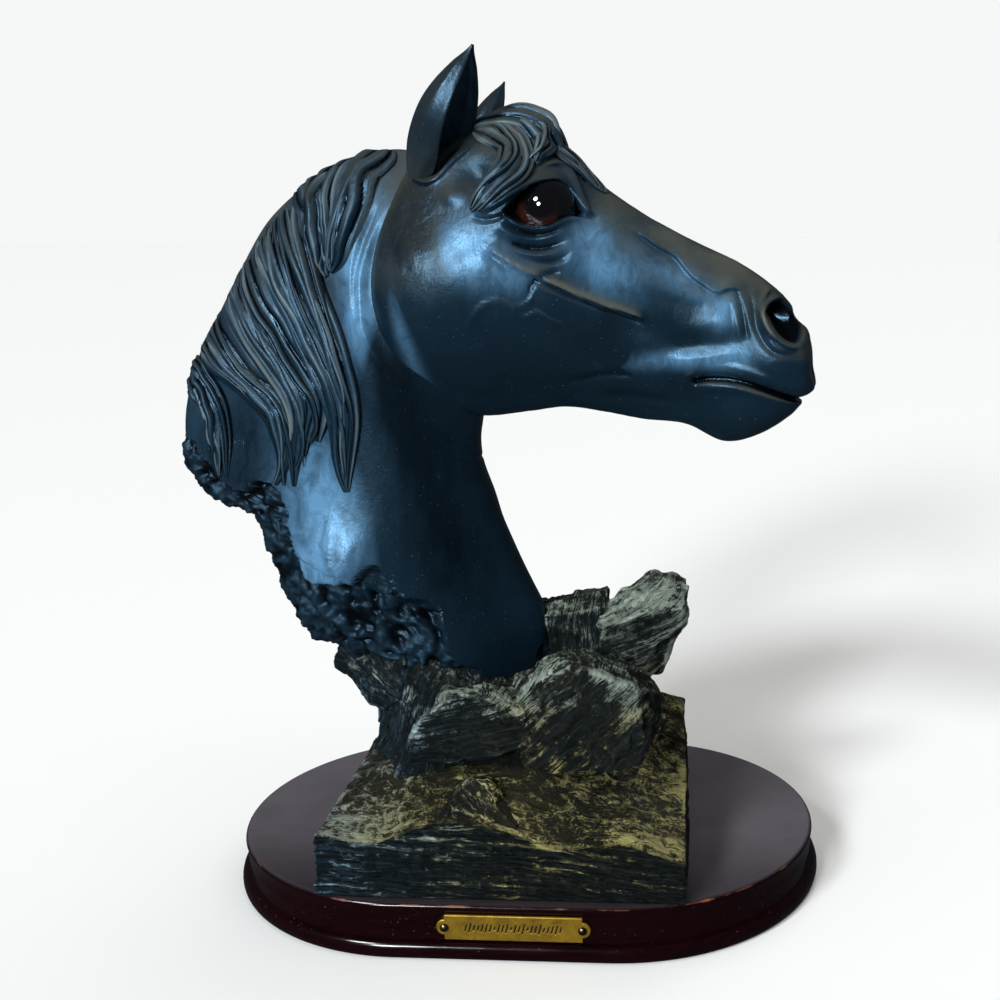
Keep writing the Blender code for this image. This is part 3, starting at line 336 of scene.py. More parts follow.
def plinth_edge():
    """Offset and height along the plinth's edge: bead, step, hollow band, lip and rounded top."""
    bead = BEAD_HEIGHT / 2
    turn = np.linspace(-math.pi / 2, math.pi / 2, 15)
    bulge = np.stack((BEAD_REACH - bead * BEAD_FLATNESS * (1 - np.cos(turn)),
                      bead + bead * np.sin(turn)), axis=1)
    low, high = BEAD_HEIGHT + FOOT_STEP, PLINTH_HEIGHT - EDGE_ROUND - LIP_STEP
    climb = np.linspace(0, 1, 9)
    hollow = np.sin(math.pi * climb) ** 2 * smooth_step(0.0, 0.5, np.abs(climb - 0.5) * 2)
    band = np.stack((-BAND_INSET - BAND_HOLLOW * hollow, low + (high - low) * climb), axis=1)
    turn = np.linspace(0, math.pi / 2, 7)
    lip = PLINTH_HEIGHT - EDGE_ROUND
    top = np.stack((-EDGE_ROUND * (1 - np.cos(turn)), lip + EDGE_ROUND * np.sin(turn)), axis=1)
    inner = np.stack((-np.array((2.2, 4.0, 10.0, 30.0, 60.0)), np.full(5, PLINTH_HEIGHT)), axis=1)
    return np.concatenate((bulge, band, top, inner))


lacquer, tree, shader = new_finish("lacquered_mahogany", 0.16, IOR=1.33, Coat_Weight=0.18,
                                   Coat_Roughness=0.07)
place = object_place(tree)
grain_place = object_place(tree, (9, 60, 120))
grain = cloud(tree, grain_place, 6.0, 6.0, 0.65, 0.4)
wood = mix_colours(tree, span(tree, grain, 0.35, 0.7), MAHOGANY, MAHOGANY_GRAIN)
colour, worn = rub(tree, Place=place, Mark=mark_value(tree, "edge"), Ground=wood, Rubbed=(*WORN_WOOD, 1),
                   From=0.95, To=1.35, Patch_Scale=70.0, Patchiness=1.8)
specks = number(tree, "GREATER_THAN", cloud(tree, place, 900.0, 2.0), 0.735)
colour = mix_colours(tree, product(tree, specks, 0.25), colour, DUST_ON_LACQUER)
smudges = cloud(tree, place, 38.0, 5.0, 0.6, 0.5)
# Painted reflection: the level top is painted grey towards its rear, in smudgy patches
behind = add_node(tree, "ShaderNodeSeparateXYZ", {"Vector": place}).outputs["Y"]
painted_reflection = product(tree, mark_value(tree, "upward"), span(tree, behind, -0.090, -0.015))
painted_reflection = product(tree, painted_reflection, span(tree, smudges, -1.2, 0.6))
colour = mix_colours(tree, painted_reflection, colour, TOP_PAINTED_REFLECTION)
gloss = total(tree, (span(tree, smudges, 0.35, 0.8), 0.12), 0.11, (worn, 0.3))
paint(tree, shader, Base_Color=colour, Roughness=gloss)
raise_surface(tree, shader, total(tree, (cloud(tree, place, 45.0, 2.0), 0.6), (grain, 0.12)), 0.00025)

rings = np.stack([oval_ring(*step) for step in plinth_edge()]) * MM
whole_ring = np.ones(rings.shape[1])
plinth = shells_object("plinth", [rings], lacquer, {"edge": [np.outer(RING_WEAR, whole_ring)],
                                                    "upward": [np.outer(RING_LEVEL, whole_ring)]}, crease=32)
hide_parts("oval_wooden_plinth")


# Rock slab: the foot of the casting, a layered slab with torn sides and a crumpled top. Cast in
# resin with the rest, painted green-black, and its ridges brushed with dry gold and silver.
DRAWN_SEAT = 20.0
CASTING_FORWARD = 1.2
CLEARANCE = 0.3
SLAB_OUTLINE = ((-65, -70), (62, -70), (61, -20), (58, 46), (48, 52), (-44, 52), (-58, 40), (-62, -14))
SLAB_CENTRE = (0.0, -10.0)
SLAB_ROWS_Y = (-70.0, 52.0)
SLAB_COLUMNS_X = (-65.0, 62.0)
SLAB_HEIGHTS = (
    (42.0, 40.0, 47.5, 46.0, 39.5, 41.0, 34.5),
    (44.0, 50.0, 55.0, 56.0, 50.0, 44.0, 38.0),
    (46.0, 58.0, 66.0, 68.0, 62.0, 51.0, 43.0),
    (47.0, 60.0, 68.0, 70.0, 64.0, 55.0, 49.0),
    (42.0, 47.0, 52.0, 55.0, 53.0, 51.0, 50.0),
)
SLAB_SIDE_SHARE = 0.36      # share of the rings that climb the side
SLAB_REACH = 60.0           # from the centre to the edge, roughly
SLAB_LEDGE = 3.6            # height of a layer in the torn side
# Where the gold brushing is strongest on the slab's top: x, y and radius
SLAB_GILT = ((-58, -64, 12), (-16, -58, 6), (2, -66, 6), (50, -62, 16), (-40, -64, 8), (56, -20, 14))
ROCK_GROUND = (0.0025, 0.0042, 0.0050)
ROCK_DULL = (0.013, 0.014, 0.009)
# Blue painted window light on the left of the rock
ROCK_PAINTED_COOL_LIGHT = (0.010, 0.024, 0.034)
# Brown painted warm light on the rock's tops
ROCK_PAINTED_TOP_LIGHT = (0.040, 0.033, 0.016)
ROCK_GOLD = (0.42, 0.38, 0.15)
ROCK_SILVER = (0.20, 0.33, 0.44)
ROCK_STONE = (0.25, 0.30, 0.25)
ROCK_SHEEN = (0.7, 0.88, 1.0, 1)


def to_model(points):
    """The casting is drawn in millimetres from its seat at height 20; this stands it on the plinth."""
    return (np.asarray(points, float) + (CASTING_FORWARD, 0, CLEARANCE)) * MM


def spline_weights(parameters, knots):
    """Catmull-Rom weights: a row for each parameter from 0 to 1, a column for each knot."""
    position = np.clip(np.asarray(parameters, float), 0, 1) * (knots - 1)
    start = np.minimum(position.astype(int), knots - 2)
    f = position - start
    shares = ((-f + 2 * f**2 - f**3) / 2, (2 - 5 * f**2 + 3 * f**3) / 2,
              (f + 4 * f**2 - 3 * f**3) / 2, (f**3 - f**2) / 2)
    weights = np.zeros((len(f), knots))
    for offset, part in zip((-1, 0, 1, 2), shares):
        np.add.at(weights, (np.arange(len(f)), np.clip(start + offset, 0, knots - 1)), part)
    return weights


def spread(count, places, weights, closed=False):
    """Values from 0 to 1 that lie closer together where the weight is larger."""
    fine = np.linspace(0, 1, 4001)
    density = np.interp(fine, places, weights)
    total = np.concatenate(((0,), np.cumsum((density[1:] + density[:-1]) / 2)))
    return np.interp(np.linspace(0, total[-1], count, endpoint=not closed), total, fine)


def layered_noise(points, size, seed, layers=3):
    """Noise of halving sizes and heights, summed."""
    return sum(0.5**layer * noise(points, size * 0.5**layer, seed + layer) for layer in range(layers))


def veins(points, size, seed, width):
    """Thin wandering ridges: exp(-(n / width)^2), n being noise whose place is itself disturbed."""
    shift = np.stack([noise(points, size * 0.8, seed + 7 * axis + 1) for axis in range(3)], axis=-1)
    return np.exp(-(noise(points + 0.45 * size * shift, size, seed) / width) ** 2)


def unit(vectors):
    """The same directions with length 1."""
    return vectors / np.maximum(np.linalg.norm(vectors, axis=-1, keepdims=True), 1e-9)


def walk_along(corners, shares):
    """Points at shares of the way along a polygon's corners."""
    lengths = np.concatenate(((0,), np.cumsum(np.linalg.norm(np.diff(corners, axis=0), axis=1))))
    return np.stack([np.interp(shares * lengths[-1], lengths, corners[:, axis]) for axis in (0, 1)], axis=1)


def slab_height(x, y):
    """Height of the slab's top, from its rows of heights."""
    heights = np.array(SLAB_HEIGHTS)
    across = (x.ravel() - SLAB_COLUMNS_X[0]) / (SLAB_COLUMNS_X[1] - SLAB_COLUMNS_X[0])
    back = (y.ravel() - SLAB_ROWS_Y[0]) / (SLAB_ROWS_Y[1] - SLAB_ROWS_Y[0])
    rows, columns = spline_weights(back, len(heights)), spline_weights(across, heights.shape[1])
    return np.einsum("pr,rc,pc->p", rows, heights, columns).reshape(x.shape)


def slab_shell(rows=214, columns=440):
    """Rings that climb the side, then close over the top, with layers torn in the side."""
    corners = np.array(SLAB_OUTLINE + (SLAB_OUTLINE[0],), float)
    shares = spread(columns, (0, 0.26, 0.30, 0.5, 0.85, 1), (2.0, 2.0, 1.2, 1.0, 1.0, 1.4), True)
    edge = walk_along(corners, shares)
    climb = np.linspace(0, 1, rows)
    reach = np.minimum((1.001 - climb) / (1.001 - SLAB_SIDE_SHARE), 1)
    centre = np.array(SLAB_CENTRE)
    spot = centre + (edge - centre)[None] * reach[:, None, None]
    rise = np.minimum(climb / SLAB_SIDE_SHARE, 1)[:, None]
    top = slab_height(spot[..., 0], spot[..., 1])
    height = DRAWN_SEAT + (top - DRAWN_SEAT) * rise
    points = np.concatenate((spot, height[..., None]), axis=-1)
    side = (rise < 1) * np.ones(top.shape)
    outward = unit(np.concatenate((spot - centre, np.zeros(top.shape + (1,))), axis=-1))

    layer = points[..., 2] + 2.6 * noise(points * (1, 1, 0.5), 30, 12) + noise(points * (1, 1, 0.6), 10, 15)
    layer = layer + 0.16 * np.maximum(points[..., 0] - 5, 0)
    wide = layer + 1.7 * noise(np.stack((0 * layer, 0 * layer, layer), axis=-1), 4.0, 19)
    tooth = wide / SLAB_LEDGE - np.floor(wide / SLAB_LEDGE)
    ledge = smooth_step(0.0, 0.8, tooth) * (1 - smooth_step(0.86, 1.0, tooth))
    strength = smooth_step(-0.5, 0.6, noise(points * (0.6, 0.6, 2.2), 11, 16))
    narrow = 1 - 2 * np.abs(noise(points * (0.16, 0.16, 0) + layer[..., None] * (0, 0, 1), 1.25, 17))
    grit = layered_noise(points, 2.6, 18)
    foot = smooth_step(0, 1.5, points[..., 2] - DRAWN_SEAT)
    bulge = noise(points * (1, 1, 1.5), 15, 20)
    torn = foot * (1.5 * (ledge - 0.5) * strength + 0.34 * narrow + 0.40 * grit + bulge)

    drift = np.stack([noise(points, 16, 21 + axis) for axis in range(3)], axis=-1)
    flow = (points + 7.0 * drift) * (0.55, 1.0, 1.0)
    swirl = 1 - 2 * np.abs(noise(flow, 6.5, 24))
    fine_swirl = 1 - 2 * np.abs(noise(flow, 2.9, 25))
    lumps = 1.3 * noise(points, 11, 13) + 0.55 * swirl + 0.3 * fine_swirl + 0.25 * grit
    web = np.maximum(veins(points, 9.0, 31, 0.13), 0.8 * veins(points, 5.0, 51, 0.15))
    patch = smooth_step(-0.35, 0.4, noise(points, 24, 61))
    inset = smooth_step(0.0, 4.0, (1 - reach)[:, None] * SLAB_REACH)
    lumps = (1 - side) * (lumps * inset + 0.7 * web * (0.3 + 0.7 * patch))
    rim_distance = (climb[:, None] - SLAB_SIDE_SHARE) * SLAB_REACH / (1 - SLAB_SIDE_SHARE)
    rim = np.exp(-(rim_distance / 1.6) ** 2)
    gilt = sum(np.exp(-((points[..., 0] - x) ** 2 + (points[..., 1] - y) ** 2) / size**2)
               for x, y, size in SLAB_GILT)
    points = points + outward * (side * torn)[..., None]
    points[..., 2] += lumps
    # Painted shade: the torn side is brushed less towards the right, where less light falls
    painted_shade_to_right = 0.10 + 0.25 * smooth_step(0, 45, points[..., 0])
    ridge = side * (0.60 * ledge * strength + 0.42 * narrow - 0.30 - painted_shade_to_right)
    crumpled = 0.55 * web * patch + 0.42 * swirl + 0.30 * fine_swirl
    ridge += (1 - side) * (crumpled - 0.48 + 0.55 * gilt.clip(0, 1.2))
    ridge += 0.7 * rim * smooth_step(-0.5, 0.3, noise(points, 12, 62))
    across = side * layer + (1 - side) * (flow[..., 1] + 0.6 * flow[..., 2])
    return points, ridge, (1 - side), across


def thin_ridges(tree, source, width):
    """1 where a noise value is a half, falling to 0 within the width."""
    away = number(tree, "ABSOLUTE", number(tree, "SUBTRACT", source, 0.5))
    return number(tree, "SUBTRACT", 1.0, span(tree, away, 0.0, width))


rock, tree, shader = new_finish("brushed_rock", 0.5, IOR=1.28, Specular_Tint=ROCK_SHEEN)
place = object_place(tree)
parts = add_node(tree, "ShaderNodeSeparateXYZ", {"Vector": place}).outputs
broad = cloud(tree, place, 30.0, 3.0)
fine = cloud(tree, place, 420.0, 5.0, 0.65, 0.6)
mid = cloud(tree, place, 130.0, 4.0, 0.6, 1.2)
top_mark = mark_value(tree, "upward")
# Fine lines along the grain: noise of the distance across it, barely disturbed along it
across_grain = add_node(tree, "ShaderNodeCombineXYZ", {
    "X": product(tree, mark_value(tree, "across"), 1.5), "Y": product(tree, parts["X"], 60.0),
    "Z": product(tree, parts["Z"], 60.0)}).outputs[0]
lines = cloud(tree, across_grain, 1.0, 5.0, 0.65, 0.7)
# Thin ridges: where noise passes through its middle value, in nets and along the grain
net = number(tree, "MAXIMUM", thin_ridges(tree, cloud(tree, place, 100.0, 3.0, 0.55, 1.2), 0.040),
             thin_ridges(tree, cloud(tree, place, 260.0, 3.0, 0.55, 1.0), 0.050))
net = product(tree, net, total(tree, (top_mark, 0.8), 0.2))
strands = thin_ridges(tree, lines, 0.05)
# Across the slab from the left the brushing turns from silver to gold, sooner on its top. Besides the dry
# brushing this paints light: cool blue-silver on the left where the window light falls, and warmer tops lit
# from above
along_slab = total(tree, parts["X"], (parts["Z"], -0.55), (top_mark, 0.034))
warmth = span(tree, along_slab, -0.080, -0.015)
crests = total(tree, (lines, 0.6), (fine, 0.4))
dull = mix_colours(tree, warmth, ROCK_PAINTED_COOL_LIGHT, ROCK_DULL)
ground = mix_colours(tree, span(tree, crests, 0.42, 0.64), ROCK_GROUND, dull)
# Painted warm top light: the tops are browner, in broad patches
ground = mix_colours(tree, product(tree, span(tree, broad, 0.3, 0.7), top_mark), ground, ROCK_PAINTED_TOP_LIGHT)
ridge_mark = total(tree, mark_value(tree, "ridge"), (number(tree, "SUBTRACT", fine, 0.5), 1.3),
                   (number(tree, "SUBTRACT", lines, 0.5), 1.8), (net, 0.70), (strands, 0.60))
brushed = mix_colours(tree, warmth, ROCK_SILVER, ROCK_GOLD)
brushed = mix_colours(tree, span(tree, parts["Z"], 0.072, 0.085), brushed, ROCK_STONE)
colour, _ = rub(tree, Place=place, Mark=ridge_mark, Ground=ground, Rubbed=brushed,
                From=0.46, To=1.10, Patch_Scale=240.0, Patchiness=1.0)
paint(tree, shader, Base_Color=colour, Roughness=total(tree, (fine, 0.35), 0.26))
relief = total(tree, (fine, 0.6), (mid, 0.5), (net, 0.35), (strands, 0.25), (lines, 1.1))
raise_surface(tree, shader, relief, 0.0016)

points, ridge, upward, across = slab_shell()
slab = shells_object("rock_slab", [to_model(points)], rock,
                     {"ridge": [ridge], "upward": [upward], "across": [across]})
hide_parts("cast_horse_head_and_rock")


# Stones: the blocks and boulders that carry the neck, part of the same casting. Each is a few flat
# faces with worn edges and a fibrous grain, finished like the slab.
# Corners of each stone, the direction of its grain, and how much more it is brushed
STONES = {
    "left_block": (((-75, -6, 81), (-72, -8, 90), (-64, -10, 97), (-51, -24, 70), (-42, -32, 78),
                    (-40, -28, 96), (-73, 16, 82), (-62, 22, 68), (-32, 30, 100), (-40, 34, 70)),
                   (0.9, -0.2, -0.4), 0.05),
    "front_wedge": (((-36, -49, 69), (-34.5, -51, 61), (-21, -45, 85.5), (-8, -42, 83), (5, -46, 77.5),
                     (5, -50, 67), (-16, -53, 63), (6, -20, 80), (-28, -20, 80), (-10, -20, 58)),
                    (1, 0, 0.14), -0.1),
    "column": (((-56, -12, 66), (-59, -10, 48), (-42, -26, 94), (-26, -24, 86), (-38, -36, 70),
                (8, -18, 72), (9, -40, 56), (-42, -42, 46), (-50, 28, 94), (-56, 34, 44),
                (10, 28, 99), (14, 38, 46)), (0.3, 0, 1), -0.10),
    "front_boulder": (((2, -44, 76), (4, -53, 63), (1, -36, 86), (11, -26, 93), (18, -34, 95.5),
                       (24, -12, 91), (32, -14, 90), (50, -16, 80), (54, -26, 78), (52, -40, 68),
                       (46, -48, 60), (32, -54, 60), (16, -56, 60), (26.5, -48, 95), (45, -47, 89),
                       (20, -10, 62)), (0.75, 0, 0.66), 0),
    "split_block": (((6, 2, 102), (30, 4, 109), (30, -3, 104), (30, -4, 84), (6, -4, 84), (6, -3, 100),
                     (30, 24, 104), (6, 24, 99), (6, 26, 70), (28, 24, 70)), (0.05, 0, 1), -0.05),
    "right_wedge": (((29, 2, 103), (47, 22, 113), (60, 18, 110), (62, 0, 109), (59, -7, 105),
                     (30, -7, 98.5), (61, 0, 98), (52, 0, 77), (42, -6, 79), (28, -6, 84),
                     (54, 24, 90), (34, 26, 88)), (0.85, 0.1, 0.4), 0.35),
    "back_boulder": (((-44, 28, 84), (-20, 26, 92), (6, 30, 84), (18, 44, 70), (12, 50, 46),
                      (-22, 54, 44), (-46, 46, 46), (-20, 46, 74)), (0.8, 0, 0.5), 0),
    "ridge_stone": (((-26, -66, 44), (-19, -62, 51), (-13, -54, 57), (-9, -56, 55), (5, -68, 45),
                     (8, -58, 45), (-6, -46, 54), (-22, -48, 52)), (0.8, 0.1, -0.5), -0.05),
}
# Where the stones are brushed most: x, y, z, radius and strength
STONE_GILT = ((38, -46, 92, 6, 1.0), (30, -47, 94, 4, 0.6), (3, -42, 82, 8, 0.6), (9, -4, 98, 8, 0.5),
              (24, -4, 95, 10, 0.4), (-24, -48, 82, 6, 0.6), (-33, -50, 71, 5, 0.6), (50, 5, 108, 12, 0.35),
              (-60, -12, 86, 10, 0.3), (-45, -36, 74, 8, 0.4), (-30, -40, 82, 7, 0.5))
STONE_ROUGHNESS = 0.9
STONE_GRAIN_DEPTH = 0.5
STONE_POWER = 40            # higher leaves the stones' edges sharper


def hull_planes(corners):
    """Outward planes of the convex hull of a few corners, as normals and distances."""
    centre = corners.mean(axis=0)
    planes = []
    for a, b, c in itertools.combinations(corners - centre, 3):
        normal = np.cross(b - a, c - a)
        size = np.linalg.norm(normal)
        if size < 1e-6:
            continue
        normal = normal / size * (1 if normal @ a > 0 else -1)
        if np.all((corners - centre) @ normal <= normal @ a + 1e-6):
            planes.append((*normal, normal @ a))
    return centre, np.array(planes)


def fibres(points, grain, size, seed):
    """Ridges along a direction: 1 - 2|n|, n being noise that is stretched six times along it."""
    grain = unit(np.array(grain, float))
    stretched = points - grain * (points @ grain)[..., None] * 0.84
    return 1 - 2 * np.abs(noise(stretched, size, seed))


def directions(tilt, columns):
    """Directions at each tilt t from an axis, carried round it: (sin t cos a, sin t sin a, cos t)."""
    turn = np.linspace(0, 2 * math.pi, columns, endpoint=False)
    return np.stack((np.outer(np.sin(tilt), np.cos(turn)), np.outer(np.sin(tilt), np.sin(turn)),
                     np.outer(np.cos(tilt), np.ones(columns))), axis=-1)


def stone_shell(corners, grain, brushing, seed, rows=150, columns=200):
    """Radius in each direction = 1 / (sum of closeness^40)^(1/40) over the planes of the stone's
    hull, plus roughness and grain. The edge mark is high where the two nearest planes tie."""
    centre, planes = hull_planes(np.array(corners, float))
    direction = directions(np.linspace(0, math.pi, rows) + 1e-4, columns)
    closeness = np.maximum(direction @ planes[:, :3].T / planes[:, 3], 1e-6)
    points = centre + direction / (np.sum(closeness**STONE_POWER, axis=-1) ** (1 / STONE_POWER))[..., None]
    best, normal = closeness.max(axis=-1), planes[:, :3][closeness.argmax(axis=-1)]
    apart = np.linalg.norm(normal[..., None, :] - planes[:, :3], axis=-1)
    rival = np.where(apart > 0.25, closeness, 0).max(axis=-1)
    edge = smooth_step(0.90, 1.0, rival / best)
    rough = noise(points, 9.0, seed) + 0.5 * noise(points, 4.0, seed + 1)
    thread = fibres(points, grain, 3.0, seed + 2) + 0.7 * fibres(points, grain, 1.5, seed + 3)
    step = smooth_step(-0.1, 0.15, noise(points, 6.5, seed + 4))
    chips = 1 - 2 * np.abs(noise(points, 10.0, seed + 7))
    relief = STONE_ROUGHNESS * rough + STONE_GRAIN_DEPTH * thread + 0.9 * (step - 0.5) + 0.8 * chips
    cross = np.cross(np.array(grain, float), (0.0, 1.0, 0.15))
    across = points @ unit(cross) + 1.2 * noise(points, 10.0, seed + 6)
    points = points + direction * relief[..., None]
    worn = edge * smooth_step(-0.1, 0.7, noise(points, 8.0, seed + 5))
    gilt = sum(level * np.exp(-((points - (x, y, z)) ** 2).sum(axis=-1) / size**2)
               for x, y, z, size, level in STONE_GILT)
    # Faces that look up are brushed more, as painted light from above, on top of each stone's brushing and
    # gilt
    brushing_and_top_light = 0.25 * smooth_step(0.35, 0.8, normal[..., 2]) + brushing + gilt
    ridge = 0.30 * thread + 0.70 * worn - 0.55 + 0.2 * step + 0.2 * chips + brushing_and_top_light
    return points, ridge, 0.5 * normal[..., 2].clip(0, 1), across


stone_shells = [stone_shell(*stone, 20 + index) for index, stone in enumerate(STONES.values())]
for label, chosen in (("stones_front", (0, 1, 3)), ("stones_middle", (2, 4, 5)), ("stones_back", (6, 7))):
    stones = shells_object(label, [to_model(stone_shells[index][0]) for index in chosen], rock,
                           {mark: [stone_shells[index][place] for index in chosen]
                            for place, mark in enumerate(("ridge", "upward", "across"), 1)})
    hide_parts("cast_horse_head_and_rock")


# Neck: a hollow-sided column of resin in near-black satin with a steel-blue sheen. Its lower edge
# on the mane side is broken away, and the break is left rough and darker.
NECK_STATIONS = (
    (-20, 262, -10, 205, 0, 0, 0, 0, 0, 0),
    (-36, 272, -14, 188, 0, 13, 20, 23, 22, 14),
    (-58, 270, -14, 177.5, 0, 11, 19, 24, 24, 16),
    (-74, 261.5, -15.2, 168, 0, 10, 18, 24, 25, 17),
    (-90, 248, -14.2, 158.5, 0, 9, 17, 24, 25, 17),
    (-101.5, 231, -10.5, 147.5, 0, 9, 17, 24, 25.5, 17),
    (-112, 213, -7.8, 138, 0, 9, 17, 24.5, 26, 17),
    (-121, 197, -4.3, 129, 0, 9, 18, 25, 26.5, 17),
    (-126, 181, -0.4, 119.7, 0, 10, 19, 26, 27, 17),
    (-127.2, 168, 3.6, 111, 0, 12, 21, 27, 27.5, 17),
    (-126, 157, 6.6, 104.5, 0, 14, 23, 28, 28, 17),
    (-116, 146, 8, 99, 0, 16, 25, 29, 28, 17),
    (-102, 141.5, 8.5, 94, 0, 18, 26, 30, 28, 17),
    (-98, 129, 8.3, 88, 0, 19, 27, 31, 29, 17),
    (-93, 114, 6.5, 80, 0, 19, 27, 31, 29, 17),
    (-88, 101, 3, 72, 0, 17, 25, 29, 27, 15),
    (-80, 91.5, -8, 64, 0, 12, 18, 20, 18, 10),
    (-66, 97, -20, 57, 0, 0, 0, 0, 0, 0),
)
NECK_SECTION_POWER = 0.8
# The casting is broken away on one side of each of these lines
NECK_BREAK = ((-98, 132), (-84, 126.5), (-69.4, 118.6), (-59.9, 121.4), (-50.2, 127.1), (-43.4, 116.5),
              (-28.7, 112.1), (-25.6, 96.8), (-16.7, 87.2), (-7.7, 79), (1.6, 78), (12, 99))
CREST_BREAK = ((-134, 176), (-122, 166), (-113, 157), (-103, 152), (-95, 155), (-87, 153), (-82, 140))
BREAK_DEPTH = 5.0
BREAK_ROUGHNESS = 2.4
# Broad forms of the neck: centre x, z; radii; height; turn in degrees
NECK_SWELLINGS = {
    "foot of the satin patch": (-66.0, 124.0, 20.0, 17.0, 4.2, 25),
    "strip behind the cheek": (-52.0, 215.0, 7.0, 34.0, 1.6, 8),
    "hollow under the mane": (-98.0, 172.0, 11.0, 15.0, -3.0, 0),
}
# Painted highlights, where the satin is painted a brighter steel blue for the windows' reflection, and
# painted shade where the strength is below zero: centre x, z; radii; strength; turn in degrees
NECK_PAINTED_HIGHLIGHT_AND_SHADE = {
    "strip behind the cheek": (-52.0, 222.0, 6.5, 30.0, 1.3, 8),
    "upper strip": (-47.0, 252.0, 4.0, 13.0, 0.8, 20),
    "satin patch": (-68.0, 146.0, 13.0, 26.0, 1.1, 15),
    "rim of the patch": (-76.0, 128.0, 15.0, 8.0, 0.7, -20),
    "neck under the cheek": (-41.0, 190.0, 8.0, 22.0, -1.4, 12),
    "front of the neck": (-26.0, 140.0, 20.0, 45.0, -0.8, 15),
}
# Lines carved in the neck: points, half width, height and share of the length that tapers off
NECK_LINES = {
    "hollow": (((-40, 192), (-30, 165), (-20, 130), (-14, 105)), 9, -1.2, 0.3),
    "cord behind the cheek": (((-41, 256), (-48, 240), (-51, 226), (-49.5, 210), (-43, 197), (-33, 187)),
                              1.7, 1.3, 0.2),
    "second cord": (((-46, 256), (-52, 242), (-54.5, 228), (-53, 212), (-47, 198)), 1.8, 0.9, 0.25),
    "groove between the cords": (((-43.5, 256), (-50, 241), (-52.8, 227), (-51.3, 211)), 1.2, -0.8, 0.25),
    "first throat crease": (((-24, 170.5), (-20, 168.5), (-15, 167)), 0.8, -0.5, 0.4),
    "second throat crease": (((-23, 164.5), (-18, 162), (-11, 160.5)), 0.8, -0.6, 0.4),
    "tendon": (((-44, 176), (-36, 150), (-27, 124), (-20, 104)), 5, 0.6, 0.3),
}
# Given as for the swellings: painted shade in the hollow at the rear under the mane, and the wrinkled foot
# over the break
NECK_PAINTED_SHADE = (-103.0, 164.0, 15.0, 17.0, 1.2, 0)
NECK_WRINKLES = (-74.0, 130.0, 22.0, 13.0, 1.0, -15)
RESIN_DARK = (0.0026, 0.0078, 0.0135)
RESIN_BLUE = (0.0040, 0.0125, 0.0225)
# Olive painted warm light from above, on what faces up
RESIN_PAINTED_TOP_LIGHT = (0.066, 0.068, 0.052)
# Steel blue painted highlight, where the windows' reflection falls
RESIN_PAINTED_HIGHLIGHT = (0.085, 0.205, 0.350)
# Near-black painted shade for hollows and shaded places
RESIN_PAINTED_SHADE = (0.0008, 0.0010, 0.0014)
RESIN_RUBBED = (0.08, 0.078, 0.058, 1)
RESIN_DUST = (0.5, 0.5, 0.48)
RESIN_SHEEN = (0.36, 0.68, 1.0, 1.0)


def curve(points, count):
    """A Catmull-Rom curve through the points, sampled evenly in its parameter."""
    points = np.array(points, float)
    return spline_weights(np.linspace(0, 1, count), len(points)) @ points


def line_distance(x, z, line, steps=28):
    """Distance to a smooth line in the side plane, the side it is on, and how far along."""
    path = curve(line, steps)
    best, side, along = np.full(x.shape, 1e9), np.zeros(x.shape), np.zeros(x.shape)
    for index in range(steps - 1):
        start, step = path[index], path[index + 1] - path[index]
        share = np.clip(((x - start[0]) * step[0] + (z - start[1]) * step[1]) / (step @ step), 0, 1)
        across_x = x - start[0] - share * step[0]
        across_z = z - start[1] - share * step[1]
        distance = np.hypot(across_x, across_z)
        nearer = distance < best
        best = np.where(nearer, distance, best)
        side = np.where(nearer, np.sign(step[0] * across_z - step[1] * across_x), side)
        along = np.where(nearer, (index + share) / (steps - 1), along)
    return best, side, along


def end_fade(along, taper):
    """1 along a line, falling to 0 at both ends over a share of its length."""
    return smooth_step(0, taper, along) * smooth_step(0, taper, 1 - along)


def carve_line(x, z, line, half_width, height, taper):
    """A ridge along a line: height exp(-(distance / half width)^2), fading to both ends."""
    distance, _, along = line_distance(x, z, line)
    return height * end_fade(along, taper) * np.exp(-(distance / half_width) ** 2)


def section_surface(stations, along, turn, power):
    """Sections between two side-plane edges. A point lies down = (1 - cos a) / 2 of the chord from
    the upper edge, out by the half width there times |sin a|^power, near side (-Y) first."""
    table = spline_weights(along, len(stations)) @ np.array(stations)
    angle = 2 * math.pi * turn
    down = (1 - np.cos(angle)) / 2
    across = np.sign(np.sin(angle)) * np.abs(np.sin(angle)) ** power
    half_width = table[:, 5:10] @ spline_weights(down, 5).T
    chord = table[:, 2:4] - table[:, 0:2]
    forward = unit(np.stack((-chord[:, 1], chord[:, 0]), axis=1))
    bow = table[:, 4:5] * 4 * down * (1 - down)
    spot = table[:, None, 0:2] + chord[:, None] * down[None, :, None] + forward[:, None] * bow[:, :, None]
    return np.stack((spot[..., 0], -half_width * across, spot[..., 1]), axis=-1)


def grid_normals(points):
    """Outward normals of a closed grid: the cross product of its two directions."""
    along = np.gradient(points, axis=0)
    around = np.roll(points, -1, axis=1) - np.roll(points, 1, axis=1)
    normals = unit(np.cross(around, along))
    outward = np.sum(normals * (points - points.mean(axis=1, keepdims=True)))
    return normals if outward > 0 else -normals


def swelling(x, z, centre_x, centre_z, radius_x, radius_z, height, degrees):
    """A soft bump or hollow: height exp(-(u^2 + v^2)), u and v along the axes of an oval."""
    c, s = math.cos(math.radians(degrees)), math.sin(math.radians(degrees))
    across = ((x - centre_x) * c + (z - centre_z) * s) / radius_x
    up = (-(x - centre_x) * s + (z - centre_z) * c) / radius_z
    return height * np.exp(-(across**2 + up**2))


def swellings(points, forms):
    """The sum of a table's soft bumps and hollows at each point."""
    return sum(swelling(points[..., 0], points[..., 2], *form) for form in forms.values())


def near_side(points):
    """1 on the mane side and 0 on the far side, turning over a few millimetres at the middle."""
    return smooth_step(-4.0, 5.0, -points[..., 1])


